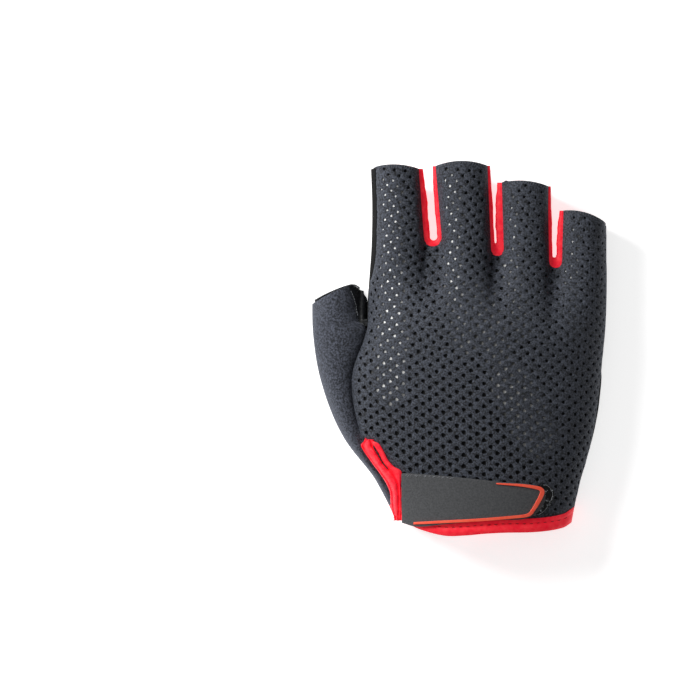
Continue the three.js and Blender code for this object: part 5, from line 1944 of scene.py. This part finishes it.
def cut_patch(name, path):
    edge, tree = Outline(path), nearest_of(path)
    xs, ys = edge.xs, edge.ys
    wide, high = xs.max() - xs.min(), ys.max() - ys.min()
    deselect()
    bpy.ops.mesh.primitive_grid_add(x_subdivisions=round(wide / PATCH_PITCH),
                                    y_subdivisions=round(high / PATCH_PITCH), size=1)
    sheet = bpy.context.active_object
    for vertex in sheet.data.vertices:
        vertex.co.x = xs.min() + (vertex.co.x + 0.5) * wide
        vertex.co.y = ys.min() + (vertex.co.y + 0.5) * high
    bpy.ops.object.mode_set(mode="EDIT")
    bpy.ops.mesh.select_mode(type="VERT")
    bpy.ops.mesh.select_all(action="DESELECT")
    bpy.ops.object.mode_set(mode="OBJECT")
    for vertex in sheet.data.vertices:
        x, y, _ = vertex.co
        vertex.select = not edge.holds(x, y) or tree.find((x, y, 0))[2] < 0.45 * PATCH_PITCH
    bpy.ops.object.mode_set(mode="EDIT")
    bpy.ops.mesh.delete(type="VERT")
    bpy.ops.mesh.select_all(action="SELECT")
    bpy.ops.mesh.delete_loose(use_verts=True, use_edges=True, use_faces=False)
    bpy.ops.object.mode_set(mode="OBJECT")
    sheet = join([sheet, wire(path)], name)
    bpy.ops.object.mode_set(mode="EDIT")
    bpy.ops.mesh.select_mode(type="EDGE")
    bpy.ops.mesh.select_all(action="DESELECT")
    bpy.ops.mesh.select_non_manifold(extend=False, use_wire=True, use_boundary=True,
                                     use_multi_face=False, use_non_contiguous=False,
                                     use_verts=False)
    bpy.ops.mesh.fill(use_beauty=True)
    bpy.ops.mesh.select_all(action="SELECT")
    bpy.ops.mesh.normals_make_consistent(inside=False)
    bpy.ops.object.mode_set(mode="OBJECT")
    point_out(sheet, Vector((0, 0, -1000)))
    return sheet


# %% Swelled between its edge and its stitches, then sewn
PATCH_LEATHER = 0.5
EDGE_THICKNESS = 0.62
EDGE_ROUND = 0.25
FOAM_START = 2.3
FOAM_RISE = 3.2
GROOVE_DEPTH = 0.95
GROOVE_HALF = 1.5


def patch(name, path, lines, node):
    """A padded patch under the palm, from its outline and its quilting lines."""
    sheet, tree = cut_patch(name, path), nearest_of(path)
    seams = nearest_of([p for line in lines for p in line])
    for vertex in sheet.data.vertices:
        x, y, _ = vertex.co
        border_run, seam_run = tree.find((x, y, 0))[2], seams.find((x, y, 0))[2]
        rise = smooth((border_run - FOAM_START) / FOAM_RISE)
        rim = EDGE_THICKNESS + EDGE_ROUND * smooth(border_run / 0.8)
        groove = 1 - GROOVE_DEPTH * math.exp(-((seam_run / GROOVE_HALF) ** 2))
        wall = mix(rim, PAD_THICKNESS, rise * groove)
        vertex.co = Vector((x, y, palm_side(x, y) - PAD_GAP - wall)) * MM
    modify(sheet, "SOLIDIFY", thickness=PATCH_LEATHER * MM, offset=-1)
    bpy.ops.object.shade_smooth_by_angle(angle=math.radians(60))
    seam_lines = [inset_line(path, inset) for inset in EDGE_ROWS] + lines
    rows = [stitches(sheet, line, thread_finish, above=False) for line in seam_lines]
    sheet = sewn(sheet, leather_finish, rows)
    settle(sheet, "embossed_leather", None, node)
    return sheet


palm_patch = patch("palm_patch", palm_outline, [LEAF, LONG_LINE, HEEL_LINE], "palm_overlay")
thumb_patch = patch("thumb_patch", pad_outline, [PAD_LINE], "thumb_pad")

# %% [markdown]
# ## Pull tabs
# Two fingers have a loop of leather round their palm edge, which the other hand pulls to take the glove
# off. A bent cube would have square corners, so each loop is a strip of cloth grid that runs under the
# finger, round a nose past its tip and back inside, with its corners drawn in.

# %% A strip folded round the palm's edge, sewn with three rows
TAB_CORNER = 0.35
TAB_ROWS_IN = (1.2, 2.8)
TAB_ROW_HALF = 0.42


def pull_tab(finger):
    tip = max(palm_tip(finger, 0), palm_tip(finger, 1))
    middle = (finger.left(tip) + finger.right(tip)) / 2
    low = PALM_LEVEL - PAD_GAP - PULL_TAB_WALL
    high = PALM_LEVEL + CLOTH_WALL + PAD_GAP + PULL_TAB_WALL
    edge = min(back_tip(finger, 0.3), back_tip(finger, 0.7)) - 0.3
    back, nose = tip - PULL_TAB_GRIP, min(tip + PULL_TAB_REACH, edge)
    fold = (high - low) / 2
    mid = (high + low) / 2
    line = [(y, low) for y in spread(back, nose - fold, 0.8)]
    line += [(nose - fold + fold * math.cos(a), mid + fold * math.sin(a))
             for a in np.linspace(-math.pi / 2, math.pi / 2, 13)[1:-1]]
    line += [(y, high) for y in spread(nose - fold, back, 0.8)]

    def place(t, i):
        y, z = line[i]
        return middle + PULL_TAB_WIDTH * (t - 0.5), y - TAB_CORNER * abs(2 * t - 1) ** 4, z

    loop = join([cloth_grid(steps(16), list(range(len(line))), place)],
                f"pull_tab_{finger.row['name']}_loop")
    point_out(loop, Vector((middle * MM, (tip + 60) * MM, mid * MM)))
    soft_wall(loop, PULL_TAB_WALL - 0.2, 0.2)
    rows = []
    half = PULL_TAB_WIDTH * TAB_ROW_HALF
    for y in (*[back + inward for inward in TAB_ROWS_IN], tip - 0.8):
        rows.append(stitches(loop, [(middle - half, y), (middle + half, y)], thread_finish,
                             above=False, pitch=1.9, length=1.35, thick=0.34))
    loop = sewn(loop, leather_finish, rows)
    settle(loop, "embossed_leather", None, f"pull_tab_{finger.row['name']}")


for finger in fingers[1:3]:
    pull_tab(finger)

# %% [markdown]
# ## The floor, the light and the camera
# The glove is shown as on a light table: the floor is pale and glows a little, so that it stays white and
# the shadow beside the glove stays soft. A white card under a strong lamp would do that too, but the lamp
# would wash out the cloth. A small softbox at the upper left draws the form, as in a studio.

# %% The floor
deselect()
bpy.ops.mesh.primitive_plane_add(size=6, location=(0, 0, 0))
floor = bpy.context.active_object
floor.name = "floor"
floor_finish, _, _ = finish("light_table", Base_Color=colour("#fafafa"), Roughness=0.9,
                            Emission_Color=colour("#ffffff"), Emission_Strength=0.7)
floor.data.materials.append(floor_finish)


# %% The lamps
def lamp(name, place, size, power):
    """A square softbox that faces the glove."""
    bpy.ops.object.light_add(type="AREA", location=place)
    light = bpy.context.active_object
    light.name = name
    light.data.shape, light.data.size, light.data.energy = "SQUARE", size, power
    light.rotation_euler = (-Vector(place)).to_track_quat("-Z", "Y").to_euler()


lamp("key_softbox", (-0.42, 0.26, 0.36), 0.25, 3.8)
lamp("top_softbox", (-0.1, 0.1, 1.2), 0.8, 0.9)
lamp("fill_softbox", (-0.3, -0.9, 0.6), 0.7, 0.5)
world = bpy.data.worlds.new("studio")
bpy.context.scene.world = world
world.use_nodes = True
backdrop = world.node_tree.nodes["Background"]
backdrop.inputs["Color"].default_value = (1, 1, 1, 1)
backdrop.inputs["Strength"].default_value = 0.15
print("lamps:", len(bpy.data.lights))

# %% [markdown]
# ### The camera
# It looks straight down from far off, as the glove was photographed, so the sides hardly lean out. The
# glove stands right of the middle, so the camera moves aside instead of the lens being shifted.

# %% Camera
PIXEL = 0.39
PICTURE_SIZE = 700
GLOVE_AT = (460, 348)
CAMERA_HEIGHT = 2.4
FOCUS_HEIGHT = 0.014
SENSOR = 36
frame_width = PICTURE_SIZE * PIXEL * MM
camera_x = -(GLOVE_AT[0] - PICTURE_SIZE / 2) * PIXEL * MM
camera_y = (GLOVE_AT[1] - PICTURE_SIZE / 2) * PIXEL * MM
bpy.ops.object.camera_add(location=(camera_x, camera_y, CAMERA_HEIGHT), rotation=(0, 0, 0))
camera = bpy.context.active_object
camera.data.sensor_width = SENSOR
camera.data.lens = SENSOR * (CAMERA_HEIGHT - FOCUS_HEIGHT) / frame_width
camera.data.clip_end = 20
bpy.context.scene.camera = camera
bpy.context.scene.view_settings.view_transform = "Standard"
print("lens:", round(camera.data.lens, 1), "mm")
